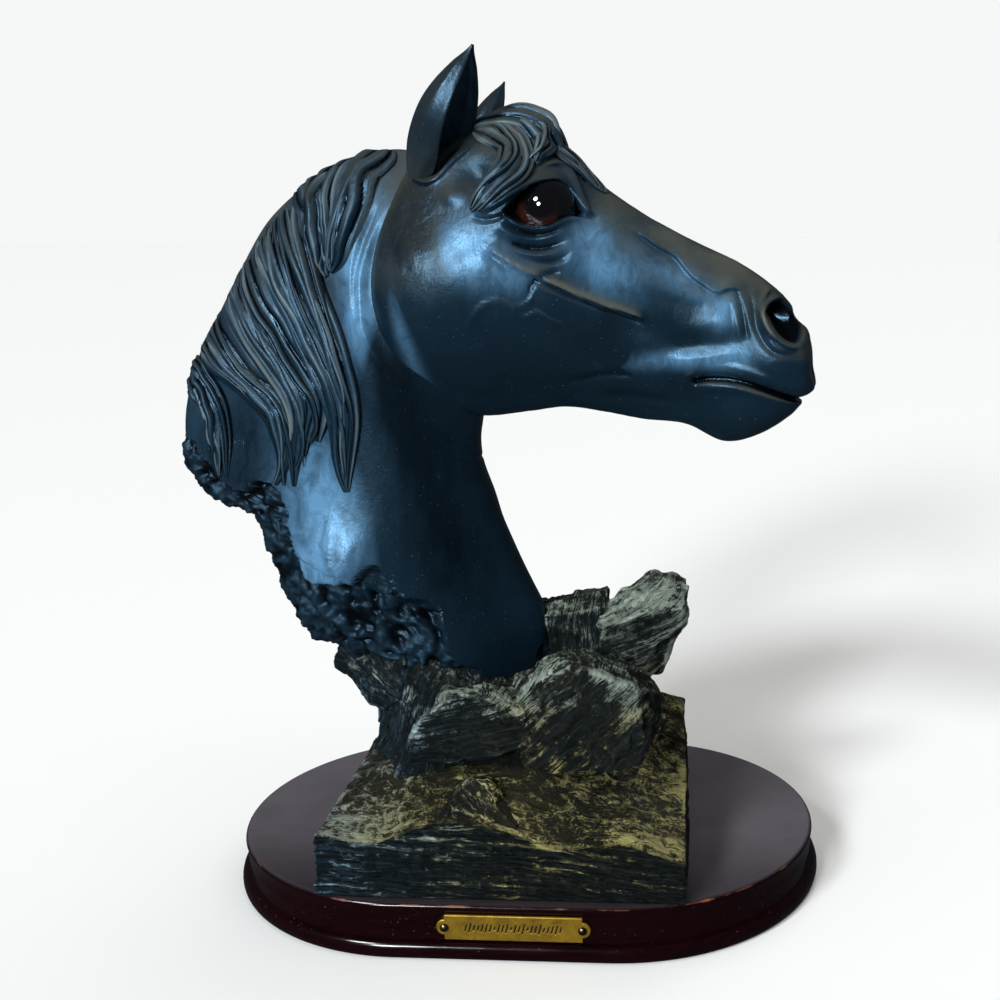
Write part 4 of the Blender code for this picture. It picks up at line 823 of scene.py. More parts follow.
def neck_shell(along, turn, fine=True):
    """The neck's sections, moved along their normals by its lines, its break and hand marks.
    Returns the points, how far the surface is broken, its ridges and its painted highlights and shade."""
    points = section_surface(NECK_STATIONS, along, turn, NECK_SECTION_POWER)
    x, z = points[..., 0], points[..., 2]
    broken = np.zeros(x.shape)
    for line in (NECK_BREAK, CREST_BREAK):
        distance, side, _ = line_distance(x, z, line)
        ragged = 1.3 * noise(points, 3.0, 8) + 1.2 * noise(points, 7.0, 9) if fine else 0
        below = np.where(side < 0, distance, -distance)
        broken = np.maximum(broken, smooth_step(-0.6, 0.8, below + ragged))
    rough = noise(points, 7.0, 3) + 0.6 * noise(points, 3.4, 4)
    relief = sum(carve_line(x, z, *line) for line in NECK_LINES.values())
    relief = relief + swellings(points, NECK_SWELLINGS) * (1 - 0.6 * broken)
    painted_highlight_and_shade = swellings(points, NECK_PAINTED_HIGHLIGHT_AND_SHADE) * (1 - broken)
    ridge = np.zeros(x.shape)
    if fine:
        pits = layered_noise(points, 2.0, 5)
        crumbs = 1 - 2 * np.abs(noise(points + 1.5 * noise(points, 5.0, 11)[..., None], 5.2, 10))
        lip = np.exp(-((broken - 0.12) / 0.1) ** 2)
        wrinkle = 1 - 2 * np.abs(noise(points * (1, 1, 0.4), 4.0, 6))
        foot = swelling(x, z, *NECK_WRINKLES) * (1 - broken)
        relief = relief + broken * (0.75 * pits + 1.3 * crumbs) + 0.5 * lip
        relief = relief + 0.10 * noise(points * (1, 1, 0.5), 6, 6) + 0.45 * foot * wrinkle
        ridge = broken * (0.5 * rough + 0.8 * crumbs - 0.7) + 0.5 * lip + 0.4 * foot * wrinkle
        # The painted highlights are broken up, and a painted highlight runs along the lip of the break
        painted_highlight_and_shade = painted_highlight_and_shade * (1 + 0.4 * noise(points * (1, 1, 0.4), 3.0, 7)) + 0.3 * lip
        # Painted shade in the hollow at the rear, on the near side
        ridge = ridge - swelling(x, z, *NECK_PAINTED_SHADE) * near_side(points)
    inward = smooth_step(2.0, 14.0, np.abs(points[..., 1]))
    relief = relief + broken * (BREAK_ROUGHNESS * rough * (0.35 + 0.65 * inward) - BREAK_DEPTH * inward)
    normals = grid_normals(points)
    return points + normals * relief[..., None], broken, ridge, painted_highlight_and_shade


def resin_finish(name, roughness, rubbed_colour):
    """Near-black satin resin with a steel-blue sheen: olive painted top light on what faces up, painted
    steel-blue highlights, painted shade in hollows, and rubbed ridges.
    """
    finish, tree, shader = new_finish(name, roughness, IOR=1.38, Specular_Tint=RESIN_SHEEN)
    place = object_place(tree)
    broad = cloud(tree, place, 22.0, 4.0)
    fine = cloud(tree, place, 520.0, 4.0, 0.6)
    ridge, painted_highlight_and_shade = mark_value(tree, "ridge"), mark_value(tree, "painted_highlight_and_shade")
    body = mix_colours(tree, span(tree, broad, 0.3, 0.75), RESIN_DARK, RESIN_BLUE)
    proud = span(tree, ridge, -0.8, -0.1)
    # Painted warm top light: olive on what faces up and stands proud, in patches
    top_light_share = product(tree, mark_value(tree, "upward"), proud)
    painted_top_light = product(tree, span(tree, top_light_share, 0.0, 0.9),
                     span(tree, cloud(tree, place, 45.0, 5.0), 0.25, 0.65))
    body = mix_colours(tree, product(tree, painted_top_light, 0.9), body, RESIN_PAINTED_TOP_LIGHT)
    # Painted shade: hollows and places with a negative mark are painted near black, where shade falls
    dull = span(tree, painted_highlight_and_shade, -0.1, -0.9)
    painted_shade_share = number(tree, "MAXIMUM", product(tree, dull, 0.6), number(tree, "SUBTRACT", 1.0, proud))
    body = mix_colours(tree, painted_shade_share, body, RESIN_PAINTED_SHADE)
    # Painted highlights: steel blue painted where the windows' reflection falls, broken into streaks
    streaks = cloud(tree, object_place(tree, (1, 1, 0.6)), 150.0, 7.0, 0.7, 0.8)
    painted_highlight = number(tree, "MULTIPLY", painted_highlight_and_shade, span(tree, streaks, 0.20, 0.60), clamp=True)
    body = mix_colours(tree, product(tree, painted_highlight, 0.8), body, RESIN_PAINTED_HIGHLIGHT)
    colour, _ = rub(tree, Place=place, Mark=ridge, Ground=body, Rubbed=rubbed_colour,
                    From=0.45, To=1.3, Patch_Scale=70.0, Patchiness=0.8)
    dust = number(tree, "GREATER_THAN", cloud(tree, place, 1400.0, 1.0), 0.76)
    colour = mix_colours(tree, product(tree, dust, 0.10), colour, RESIN_DUST)
    scuff = span(tree, cloud(tree, object_place(tree, (1, 1, 0.35)), 90.0, 6.0, 0.7, 0.8), 0.35, 0.75)
    gloss = total(tree, (scuff, 0.14), roughness - 0.05, (painted_highlight, -0.10), (painted_shade_share, -0.16),
                  (mark_value(tree, "broken"), 0.20))
    paint(tree, shader, Base_Color=colour, Roughness=gloss)
    raise_surface(tree, shader, total(tree, (fine, 0.5), (scuff, 0.35)), 0.00022)
    return finish


resin = resin_finish("patinated_resin", 0.33, RESIN_RUBBED)
neck_points, neck_broken, neck_ridge, neck_painted_highlight_and_shade = neck_shell(
    np.linspace(0, 1, 330), np.linspace(0, 1, 300, endpoint=False))
neck_top_light = grid_normals(neck_points)[..., 2] * smooth_step(180, 240, neck_points[..., 2])
neck = shells_object("neck", [to_model(neck_points)], resin,
                     {"ridge": [neck_ridge], "upward": [neck_top_light], "broken": [neck_broken],
                      "painted_highlight_and_shade": [neck_painted_highlight_and_shade * near_side(neck_points)]})
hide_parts("cast_horse_head_and_rock")


# Head: cast with the neck and turned slightly towards the mane side. Lids, veins, the bony ridge
# of the cheek, the folds of the muzzle, the nostrils and the lips are modelled in the surface.
HEAD_TURN = math.radians(6.0)
HEAD_PIVOT_X = -35.0
HEAD_STATIONS = (
    (-36, 264, -30, 182, -15, 0, 0, 0, 0, 0),
    (-35.2, 266, -29, 181, -14.8, 11, 15, 17, 16, 11),
    (-32, 269.5, -26, 179.5, -13.5, 19, 22, 27, 26, 17),
    (-24, 273, -20, 178, -11, 22, 24.5, 31, 29.5, 20),
    (-12, 279, -9, 177.6, -7, 22, 25.5, 32, 29.5, 18),
    (4, 281, 5, 179.3, -3, 20, 27.5, 31, 27.5, 15),
    (18, 271, 19, 181, 0, 19, 28.5, 27, 24, 12),
    (34.5, 257.5, 33, 179.2, 0, 16.5, 24, 22.5, 19, 11),
    (50, 247.3, 47, 176.8, 0, 13.5, 18.5, 18.5, 15.5, 10),
    (67, 238.3, 62, 175.3, 1, 12, 15.5, 16.5, 14, 10.5),
    (81, 231.6, 76, 169.3, 2, 11.5, 15.5, 16.5, 14, 12),
    (93, 223.3, 88.5, 172.2, 2.5, 11, 17, 17.5, 14, 11.5),
    (101, 214.6, 98, 178, 2.5, 9.5, 15.5, 16, 12.5, 9.5),
    (104.4, 208.5, 102, 182, 1.8, 7.5, 13, 13.5, 10.5, 8),
    (105.6, 203, 104, 185, 0.9, 5.5, 9.5, 10, 8, 6),
    (105.9, 199, 104.8, 189, 0.3, 0, 0, 0, 0, 0),
)
HEAD_SECTION_POWER = 0.72
# Ridges and grooves: points, half width, height and share of the length that tapers off
HEAD_LINES = {
    "lower lid": (((5, 249.5), (7.6, 247), (11, 245.2), (15.7, 244.3), (20.4, 245), (24, 247),
                   (29.7, 247.8)), 0.9, 1.2, 0.2),
    "groove under the lid": (((4, 247.6), (7, 245), (11, 243.4), (15.7, 242.6), (20.6, 243.4),
                              (25, 245.6)), 0.8, -1.2, 0.2),
    "first fold under the eye": (((2.6, 245.6), (6.5, 242.6), (11, 241.2), (16, 240.8), (21, 241.8),
                                  (26, 244)), 1, 0.65, 0.3),
    "groove under the first fold": (((3, 243), (8.5, 239.4), (12.9, 238.2), (17.2, 237.9),
                                     (21.6, 238.9), (27, 241.6)), 0.9, -1.5, 0.25),
    "second fold under the eye": (((4, 240.6), (9, 237.2), (14, 235.9), (19.2, 235.9), (24.4, 237.6)),
                                  1, 0.5, 0.3),
    "groove under the folds": (((4.9, 238.4), (10.1, 235.3), (14.5, 233.9), (19.8, 233.6),
                                (24.2, 234.8), (27.3, 237.6)), 0.9, -1.4, 0.25),
    "inner corner of the eye": (((26.5, 249.4), (30, 248.6), (34.2, 247)), 0.8, -2.2, 0.3),
    "outer corner of the eye": (((6.2, 250), (2.6, 248.4), (-2, 247.6), (-7, 248.6)), 0.8, -1.6, 0.3),
    "brow": (((14, 264.5), (17.2, 266.4), (20.6, 266), (23.2, 263.4), (25.6, 259.2), (27.8, 254.4),
              (30.4, 249.6), (33.6, 246)), 1.1, 1.7, 0.2),
    "fold under the ear": (((-36.5, 268.5), (-33.6, 265.8), (-30.8, 263), (-26.2, 260.7), (-21.4, 261.7),
                            (-16.5, 267), (-11.6, 271.2), (-6.8, 275.4)), 1, 1.2, 0.15),
    "groove over the fold": (((-34.5, 268.8), (-31.4, 265.6), (-26.4, 263.2), (-22.4, 264.2),
                              (-17.8, 269.4), (-12.8, 273.6)), 1, -1.2, 0.15),
    "edge of the temple": (((4.5, 266), (1.7, 262), (-0.7, 258.5), (-2.2, 254.4), (-5.9, 249.6)),
                           1.1, 0.8, 0.2),
    "vein": (((-10.6, 209.6), (-6.3, 215.2), (-3, 219), (2.1, 220.6), (5.6, 219.2), (8.4, 215.4),
              (10.6, 214.8), (15, 216.3), (19.3, 213.3), (27.5, 211)), 0.9, 0.85, 0.12),
    "branch of the vein": (((6.2, 219), (9.5, 218.6), (13, 220.8), (13.4, 224.5)), 0.8, 0.8, 0.25),
    "notch in the cheek ridge": (((23.4, 230.4), (19.4, 229.2), (15.9, 228.3), (13.4, 225.6), (12.4, 222)),
                                 0.75, -1.7, 0.2),
    "nasal muscle": (((46, 229), (56, 224.5), (66, 221.5), (76, 219)), 2.6, 0.9, 0.3),
    "fold beside the muzzle": (((80.2, 224.2), (82.6, 217.6), (84.2, 210.4), (85, 205.8)), 0.8, -1, 0.25),
    "ridge beside the muzzle": (((78.4, 223), (80.8, 216.6), (82.2, 210), (82.8, 205.8)), 1.2, 0.8, 0.25),
    "fold round the nostril": (((82.9, 225.8), (86.4, 217.5), (88.4, 209.7), (93.4, 202.8), (101.3, 200.8)),
                               1.1, -0.6, 0.25),
    "second fold round the nostril": (((85.4, 225.6), (88.4, 217.5), (90.4, 210.6), (95, 204.2),
                                       (101.5, 202.3)), 1.1, 0.5, 0.25),
    "wing of the nostril": (((93, 224.4), (90.3, 221.4), (89.4, 216.4), (91.4, 210.8), (95, 206)),
                            0.9, 1.2, 0.2),
    "mouth": (((65, 191.6), (70.5, 192.9), (77.3, 193), (83.3, 192), (89.4, 189.9), (95.4, 187.6),
               (101.9, 185.3), (112, 184.2)), 1.1, -3, 0.06),
    "upper lip": (((56, 194.6), (64.3, 195.5), (72.4, 196.6), (80, 196.8), (88, 194.6), (96, 191.4),
                   (104, 188.6), (112, 187.3)), 1.7, 0.9, 0.14),
    "lower lip": (((66.5, 188.6), (73.1, 189.6), (78.2, 189.9), (83.3, 189), (89.3, 187),
                   (95.3, 184.9), (101.5, 182.2)), 1.2, 0.7, 0.2),
    "corner of the mouth": (((67, 196), (63.4, 192.5), (63, 188.5)), 1.2, 0.7, 0.3),
    "seam of the jaw": (((20, 190.8), (28.2, 193), (34, 194.4), (41.4, 194.4), (50, 193)), 1.2, -0.9, 0.25),
    "edge of the jaw": (((30, 186.4), (40, 186.8), (51, 186), (62, 184)), 2, -0.7, 0.3),
}
# Ledges fall away on their lower side: points, height, upper width, lower width, depth below, taper
HEAD_LEDGES = {
    "upper lid": (((-3.7, 249.6), (0.5, 251.6), (4.4, 253.8), (9.7, 257.5), (13.7, 259.9), (17.7, 260.6),
                   (21, 259.3), (23.6, 256.4)), 2.6, 1.3, 0.5, 0.6, 0.15),
    "ridge of the cheek": (((-1, 238.6), (3.6, 235.3), (8.8, 232), (14.1, 229.5), (20.5, 226.3),
                            (27.5, 222.8), (36, 219.1), (42.7, 216.7), (52, 213.2)),
                           2.6, 3, 0.6, 1.8, 0.08),
    "side of the nose": (((44, 245), (48.3, 242.2), (54.3, 238), (59.8, 235), (63.3, 231),
                          (66.3, 227.8), (70.3, 225), (74.3, 222.6), (78.3, 223.8), (84.2, 223.3)),
                         0.9, 3, 0.9, 0.9, 0.15),
}
# Broad forms: centre x, z; radii; height; turn in degrees
HEAD_SWELLINGS = {
    "eye socket rim": (15, 251, 17, 12, 2.2, -10),
    "temple hollow": (-5.5, 261, 6.5, 5, -2.6, -30),
    "socket under the eye": (15, 240.2, 12, 4.4, -2.4, 0),
    "temple knob": (-3, 255, 4, 3, 1.6, 0),
    "rear knob": (-14.5, 255.4, 3.6, 2.6, 1.1, 0),
    "cheek muscle": (-17, 215, 23, 27, 1.6, 0),
    "cheek front hollow": (38, 203, 12, 13, -2, 20),
    "hollow under the crest": (48, 211.5, 14, 5, -1.6, -20),
    "flank of the nose": (44, 228, 12, 8, 0.9, -30),
    "bulge beside the muzzle": (76.5, 214.5, 6, 6.5, 1.4, -20),
    "hollow over the lip": (68, 205, 12, 3.6, -1.5, 5),
    "bulge over the lip": (66, 199.5, 11, 2.6, 0.9, 8),
    "chin": (84, 178, 9, 7, 1.2, 0),
    "chin groove": (64, 184, 8, 6, -1, 0),
    "upper lip": (95, 197, 9, 7, 1, -10),
    "lip tip": (108, 190, 6, 3.4, 2.2, 0),
}
# Painted highlights, where the satin is painted a brighter steel blue for the windows' reflection, and
# painted shade where the strength is below zero: centre x, z; radii; strength; turn in degrees
HEAD_PAINTED_HIGHLIGHT_AND_SHADE = {
    "cheek under the eye": (-8, 238, 13, 8, 1.5, -35),
    "corner of the cheek": (9, 228.5, 6, 5, 0.5, -30),
    "temple": (-13, 254.5, 3, 2, 0.5, -15),
    "hollow before the eye": (33, 242, 6, 5, 0.8, -40),
    "flank of the nose": (38, 231, 12, 8, 0.9, -35),
    "side of the nose": (62, 227, 12, 4.5, 0.6, -30),
    "bulge beside the muzzle": (76, 216, 5, 5.5, 1, -10),
    "over the lip": (62, 200, 15, 3, 0.8, 5),
    "behind the mouth": (80, 201, 8, 4, 0.7, 15),
    "nape of the cheek": (-33, 215, 3, 25, 0.5, 10),
    "upper cheek": (-29, 246, 10, 20, -1.6, 0),
}
EYE_OPENING = ((4.4, 250.4), (7.4, 253.6), (10.4, 256.4), (13.8, 258.8), (17.5, 260.2), (20.4, 260.2),
               (23.2, 258.2), (25.6, 255.0), (28.0, 251.4), (29.8, 249.2), (28.4, 248.3), (26.0, 248.6),
               (23.6, 247.8), (20.1, 245.9), (15.7, 245.3), (11.3, 246.2), (7.9, 247.7), (5.4, 249.1))
EYE_OPENING_DEPTH = 7.0
NOSTRIL_OPENING = ((90.9, 215.5), (92.1, 218.3), (96.1, 219.6), (100.6, 217.0), (103.8, 211.8),
                   (103.6, 206.6), (101.0, 204.7), (96.4, 207.0), (93.0, 211.4))
NOSTRIL_DEPTH = 7.5
NOSTRIL_RIM = 1.5
# Painted shade round the eye, where the socket lies in shade: the finish there is darkened, left unrubbed and
# without top light, over an oval given as for the painted highlights
EYE_PAINTED_SHADE = (12.0, 251.0, 16.0, 9.0, 1.8, 20)
# How strongly the depth of the carving counts as a ridge or hollow in the finish: ridges are rubbed, and
# hollows are painted dark as shade
CARVING_MARK = 0.42


def inside_ring(x, z, ring):
    """Signed distance into a smooth closed ring in the side plane, positive inside it."""
    closed = curve(tuple(ring) + (ring[0],), 4 * len(ring) + 1)
    distance, _, _ = line_distance(x, z, closed, steps=len(closed))
    crossings = np.zeros(x.shape, int)
    for start, end in zip(closed[:-1], closed[1:]):
        spans = (start[1] > z) != (end[1] > z)
        rise = end[1] - start[1] if end[1] != start[1] else 1e-9
        crossings += spans & (x < start[0] + (z - start[1]) / rise * (end[0] - start[0]))
    return np.where(crossings % 2 == 1, distance, -distance)


def ledge(x, z, line, height, upper_width, lower_width, depth, taper):
    """A ridge that slopes gently above its line and drops below it into a shallow trough."""
    distance, side, along = line_distance(x, z, line)
    below = ((height + depth) * np.exp(-(distance / lower_width) ** 2)
             - depth * np.exp(-(distance / (3.2 * lower_width)) ** 2))
    above = height * np.exp(-(distance / upper_width) ** 2)
    return end_fade(along, taper) * np.where(side > 0, above, below)


def head_relief(points):
    """How far the carving moves each point of the plain head outward."""
    x, z = points[..., 0], points[..., 2]
    relief = sum(carve_line(x, z, *line) for line in HEAD_LINES.values())
    relief = relief + sum(ledge(x, z, *line) for line in HEAD_LEDGES.values())
    relief = relief + swellings(points, HEAD_SWELLINGS)
    relief = relief - EYE_OPENING_DEPTH * smooth_step(-0.35, 0.9, inside_ring(x, z, EYE_OPENING))
    inside = inside_ring(x, z, NOSTRIL_OPENING)
    rim = np.exp(-((inside + 0.9) / 0.9) ** 2) * (1 - 0.85 * smooth_step(98.5, 102.5, x))
    relief = relief + NOSTRIL_RIM * rim
    return relief - NOSTRIL_DEPTH * smooth_step(-0.2, 3.2, inside)


def turn_head(points):
    """Turn the head's drawing about the vertical through the pivot, towards the mane side."""
    x, y = points[..., 0] - HEAD_PIVOT_X, points[..., 1]
    c, s = math.cos(HEAD_TURN), math.sin(HEAD_TURN)
    return np.stack((HEAD_PIVOT_X + x * c + y * s, y * c - x * s, points[..., 2]), axis=-1)


def head_shell(along, turn):
    """The head's sections, moved level and outward by the carving, and by slight hand marks."""
    plain_head = section_surface(HEAD_STATIONS, along, turn, HEAD_SECTION_POWER)
    x, y = plain_head[..., 0], plain_head[..., 1]
    relief = head_relief(plain_head) * np.maximum(smooth_step(2, 8, np.abs(y)), smooth_step(98, 104, x))
    marks = 0.12 * noise(plain_head, 7.0, 71) + 0.05 * noise(plain_head, 2.2, 72)
    normals = grid_normals(plain_head)
    level = normals * (1, 1, 0)
    reach = np.linalg.norm(level, axis=-1, keepdims=True)
    level = level / (reach + 1e-9) * smooth_step(0.1, 0.5, reach)
    return plain_head + level * relief[..., None] + normals * marks[..., None], relief


head_along = spread(336, (0, 0.06, 0.20, 0.32, 0.36, 0.50, 0.54, 0.66, 0.70, 0.86, 0.95, 1.0),
                    (0.3, 0.5, 0.9, 1.2, 2.3, 2.3, 1.3, 1.2, 1.3, 1.7, 0.8, 0.5))
head_turn = spread(296, (0, 0.08, 0.12, 0.20, 0.24, 0.5, 0.76, 0.80, 0.88, 0.92, 1.0),
                   (0.9, 1.0, 1.9, 1.9, 1.1, 0.9, 1.1, 1.9, 1.9, 1.0, 0.9), True)
head_points, head_ridge = head_shell(head_along, head_turn)
head_painted_highlight_and_shade = swellings(head_points, HEAD_PAINTED_HIGHLIGHT_AND_SHADE) * near_side(head_points) * (head_ridge > -1.5)
carved = CARVING_MARK * (head_ridge - swellings(head_points, HEAD_SWELLINGS))
head_points = turn_head(head_points)
eye_painted_shade = np.minimum(swelling(head_points[..., 0], head_points[..., 2], *EYE_PAINTED_SHADE), 1)
head_top_light = grid_normals(head_points)[..., 2] * (1 - eye_painted_shade)
head_mark = np.where(carved > 0, carved * (1 - 0.85 * eye_painted_shade), carved) - 0.35 * eye_painted_shade
head = shells_object("head", [to_model(head_points)], resin,
                     {"ridge": [head_mark], "upward": [head_top_light], "broken": [0 * head_ridge],
                      "painted_highlight_and_shade": [head_painted_highlight_and_shade]})
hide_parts("cast_horse_head_and_rock")


# Eyes: polished glass balls set in the sockets, with a large dark pupil in a red-brown iris
# painted behind a clear cornea. The top and the front of each are painted black as the shade of the lid.
EYE_RADIUS = 10.8
EYE_CENTRE = (16.2, -15.6, 250.9)
EYE_GAZE = (0.06, -1.0, 0.10)
IRIS_SIZE = 0.80
PUPIL_SIZE = 0.40
PUPIL = (0.0012, 0.0012, 0.0016)
IRIS_DARK = (0.009, 0.0030, 0.0025)
IRIS_LIGHT = (0.036, 0.009, 0.007)
IRIS_RIM = (0.002, 0.0015, 0.0015)

glass, tree, shader = new_finish("eye_glass", 0.05, Coat_Weight=1.0, Coat_Roughness=0.02)
place = object_place(tree)
from_axis = total(tree, mark_value(tree, "from_axis"),
                  (number(tree, "SUBTRACT", cloud(tree, place, 700.0), 0.5), 0.06))
iris = mix_colours(tree, cloud(tree, place, 900.0, 4.0), IRIS_DARK, IRIS_LIGHT)
iris = mix_colours(tree, span(tree, from_axis, IRIS_SIZE - 0.12, IRIS_SIZE), iris, IRIS_RIM)
iris = mix_colours(tree, span(tree, from_axis, PUPIL_SIZE - 0.03, PUPIL_SIZE + 0.14), PUPIL, iris)
paint(tree, shader, Base_Color=mix_colours(tree, mark_value(tree, "upper"), iris, PUPIL))
# A ball whose poles lie on the Y axis
ball = directions(np.linspace(0.002, math.pi - 0.002, 64), 96)[..., (0, 2, 1)]
for name, sign in (("eye_near", 1), ("eye_far", -1)):
    points = np.array(EYE_CENTRE) * (1, sign, 1) + EYE_RADIUS * ball
    gaze = unit(np.array(EYE_GAZE) * (1, sign, 1))
    flat = ball - gaze * (ball @ gaze)[..., None]
    oval = np.linalg.norm(flat * (0.85, 1.0, 1.15), axis=-1)
    off = np.where(ball @ gaze > 0, oval, 2 - oval)
    # The top and the front of the ball are painted black as the shade of the lid
    upper = np.maximum(smooth_step(0.0, 0.32, ball[..., 2]), smooth_step(0.42, 0.62, ball[..., 0]))
    eye = shells_object(name + "_glass", [to_model(turn_head(points))], glass,
                        {"from_axis": [off], "upper": [upper]})
    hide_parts(name)


# Ears: two thin cupped leaves that stand on the poll, cast with the head. Their backs carry soft
# ribs and their insides are painted dark as shade.
EARS = {
    "near": ((-32.0, -10.5, 258.0), (-6.2, -20.2, 304.6), 10.2, (0.95, -0.30, -0.05)),
    "far": ((-22.5, 15.0, 260.0), (-6.2, 19.0, 296.4), 7.6, (0.95, 0.30, -0.05)),
}
EAR_WALL = 2.6
# From base to tip: the share of the full radius, and half the angle that stays open in degrees
EAR_PROFILE = (0.30, 0.62, 0.90, 1.02, 1.0, 0.80, 0.46, 0.05)
EAR_GAPE = (25, 30, 42, 54, 60, 62, 60, 55)
EAR_ROWS = 110
EAR_COLUMNS = 160


def ear_shell(base, tip, radius, opening, seed):
    """An open arc of even wall, swept from a narrow base to a point: centre + reach (sin a side -
    cos a opening), a running out along the outside and back along the inside."""
    base, tip, opening = (np.array(value, float) for value in (base, tip, opening))
    axis = unit(tip - base)
    opening = unit(opening - axis * (opening @ axis))
    side = np.cross(axis, opening)
    along = np.linspace(0, 1, EAR_ROWS)
    knots = spline_weights(along, len(EAR_PROFILE))
    profile, gape = knots @ EAR_PROFILE, np.radians(knots @ EAR_GAPE)
    lap = np.linspace(-1, 1, EAR_COLUMNS // 2)[None]
    sweep = lap * (math.pi - gape[:, None])
    outer = radius * profile[:, None] * np.ones(EAR_COLUMNS // 2)
    wall = EAR_WALL * (1 - 0.55 * smooth_step(0.8, 1.0, np.abs(lap)))
    inner = np.maximum(outer - wall, outer * 0.25)
    ribs = 0.22 * np.sin(9 * sweep + 1.5 * np.sin(3 * along)[:, None]) * smooth_step(0, 0.2, along)[:, None]
    sweep = np.concatenate((sweep, sweep[:, ::-1]), axis=1)
    reach = np.concatenate((outer + ribs * profile[:, None], inner), axis=1)
    lean = -1.2 * np.sin(math.pi * along)
    centre = base + axis * (along * np.linalg.norm(tip - base))[:, None] - opening * lean[:, None]
    points = centre[:, None] + reach[..., None] * (np.sin(sweep)[..., None] * side
                                                   - np.cos(sweep)[..., None] * opening)
    return points + 0.25 * noise(points, 5, seed)[..., None] * axis * (1 - along)[:, None, None]


ear_shells = [turn_head(ear_shell(*ear, 81)) for ear in EARS.values()]
inside = (np.arange(EAR_COLUMNS) >= EAR_COLUMNS // 2) * np.ones((EAR_ROWS, 1))
blank = 0 * inside
# Outside, the backs get painted top light and painted shade; inside, the cup is painted dark as shade with a
# faint painted highlight
ears = shells_object("ears", [to_model(points) for points in ear_shells], resin,
                     {"ridge": [-0.55 * inside] * 2, "upward": [0.25 - 0.25 * inside] * 2,
                      "broken": [blank] * 2, "painted_highlight_and_shade": [-0.35 + 0.45 * inside] * 2})
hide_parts("cast_horse_head_and_rock")


# Mane: heavy locks that hang from the crest down the near side, with shorter roots over the far
# side. Each lock is a bundle of strands laid on the neck, with finer strands over it.
HAIR_RUBBED = (0.085, 0.105, 0.105, 1)
SHORT_LOCK = 45.0           # shorter locks have fewer rings and none laid over them
# Narrow locks over the seams, then fine strands on top. For each: its place in the strip and how that
# varies, how it crosses the strip, its half width and height, and its strands, seed, grid and lift
OVER_LOCKS = (
    ((1.0, 0.4, 4.1), (0.16, 2.4, 1.9), (2.3, 0.5, 2.1), (4, 300, 100, 32, 0.78)),
    ((0.7, 0.5, 5.3), (0.2, 3.1, 1.3), (1.0, 0.0, 0.9), (3, 500, 90, 12, 0.95)),
)
# Each group: its rear and front strands, how many locks, their half width and height, and the share
# of the length over which they rise from the root
MANE_GROUPS = {
    "behind_ear": (((-77, 0, 262.6), (-76, -8, 252.4), (-71.3, -17, 240.6), (-65.6, -22, 230.3)),
                   ((-40, -3, 274.5), (-46.9, -12, 266.7), (-51, -18, 257.7), (-56.4, -20, 243.8),
                    (-62.6, -22, 230.7)), 6, 5.4, 4.4, 0.4),
    "upper": (((-95, 1, 241.5), (-92.7, -7, 233), (-85.5, -15, 221.3), (-77.1, -19, 208.7),
               (-69.2, -21, 199.4), (-62.6, -23, 189.3), (-61.5, -23, 174.6), (-60.5, -23, 155)),
              ((-78.3, 1, 260.1), (-75, -9, 248.1), (-70.3, -16, 233.1), (-64, -20, 218),
               (-60.8, -22, 204.6), (-56.9, -23, 191.8), (-56, -24, 179), (-57.9, -24, 153)),
              5, 5.2, 4.8, 0.3),
    "middle": (((-108.5, 1, 220.5), (-105, -7, 213), (-98, -14, 202.4), (-89.2, -18, 192.3),
                (-82.6, -21, 183.9), (-80.3, -22, 173.6), (-81.7, -22, 154)),
               ((-96.9, 1, 239.8), (-92.4, -9, 227.9), (-83.8, -16, 216.2), (-76.6, -19, 204.4),
                (-69.3, -22, 193.5), (-65.2, -23, 185), (-70, -23, 173)),
               4, 5, 4.8, 0.3),
    "lower": (((-121.5, 1, 201.5), (-115, -6, 198.1), (-105.5, -13, 190.9), (-94.6, -17, 185.2),
               (-86, -20, 178.5), (-84.7, -21, 167.2), (-86.4, -21, 156)),
              ((-110, 1, 218.8), (-106.2, -7, 210.5), (-98.2, -14, 199.7), (-89.4, -18, 190.5),
               (-80.9, -21, 183), (-77.5, -22, 173), (-80, -22, 154.5)),
              4, 4.6, 4.4, 0.3),
    "last": (((-125.5, 0, 188), (-121.6, -5, 184), (-117.3, -9, 177), (-114.3, -12, 165.7), (-112, -13, 156)),
             ((-121.5, 1, 201.5), (-116.3, -7, 197), (-110.8, -11, 190.7), (-107.8, -13, 179.3),
              (-110, -14, 156)),
             3, 3.8, 3.6, 0.3),
    "far_side_front": (((-85, 1, 253), (-82, 10, 243), (-78, 17, 228), (-75, 20, 218)),
                       ((-44, 3, 271), (-47, 14, 261), (-53, 19, 244), (-57, 21, 232)),
                       7, 5.2, 3.4, 0.1),
    "far_side_rear": (((-120, 1, 201), (-113, 9, 193), (-103, 15, 180), (-99, 18, 172)),
                      ((-88, 1, 250), (-85, 10, 240), (-80, 17, 225), (-77, 20, 215)),
                      8, 5.2, 3.4, 0.1),
}


def lay_on(surface, normals, path):
    """The nearest place on a surface to each point of a path, and the outward normal there."""
    spots = surface.reshape(-1, 3)
    offset = (path[:, None] - spots[None]) * np.array((1.0, 0.45, 1.0))
    nearest = np.argmin((offset**2).sum(axis=2), axis=1)
    return spots[nearest], normals.reshape(-1, 3)[nearest]


def soften(values, passes):
    """Even out a path by averaging each inner point with its neighbours."""
    for _ in range(passes):
        values[1:-1] = (values[:-2] + 2 * values[1:-1] + values[2:]) / 4
    return values


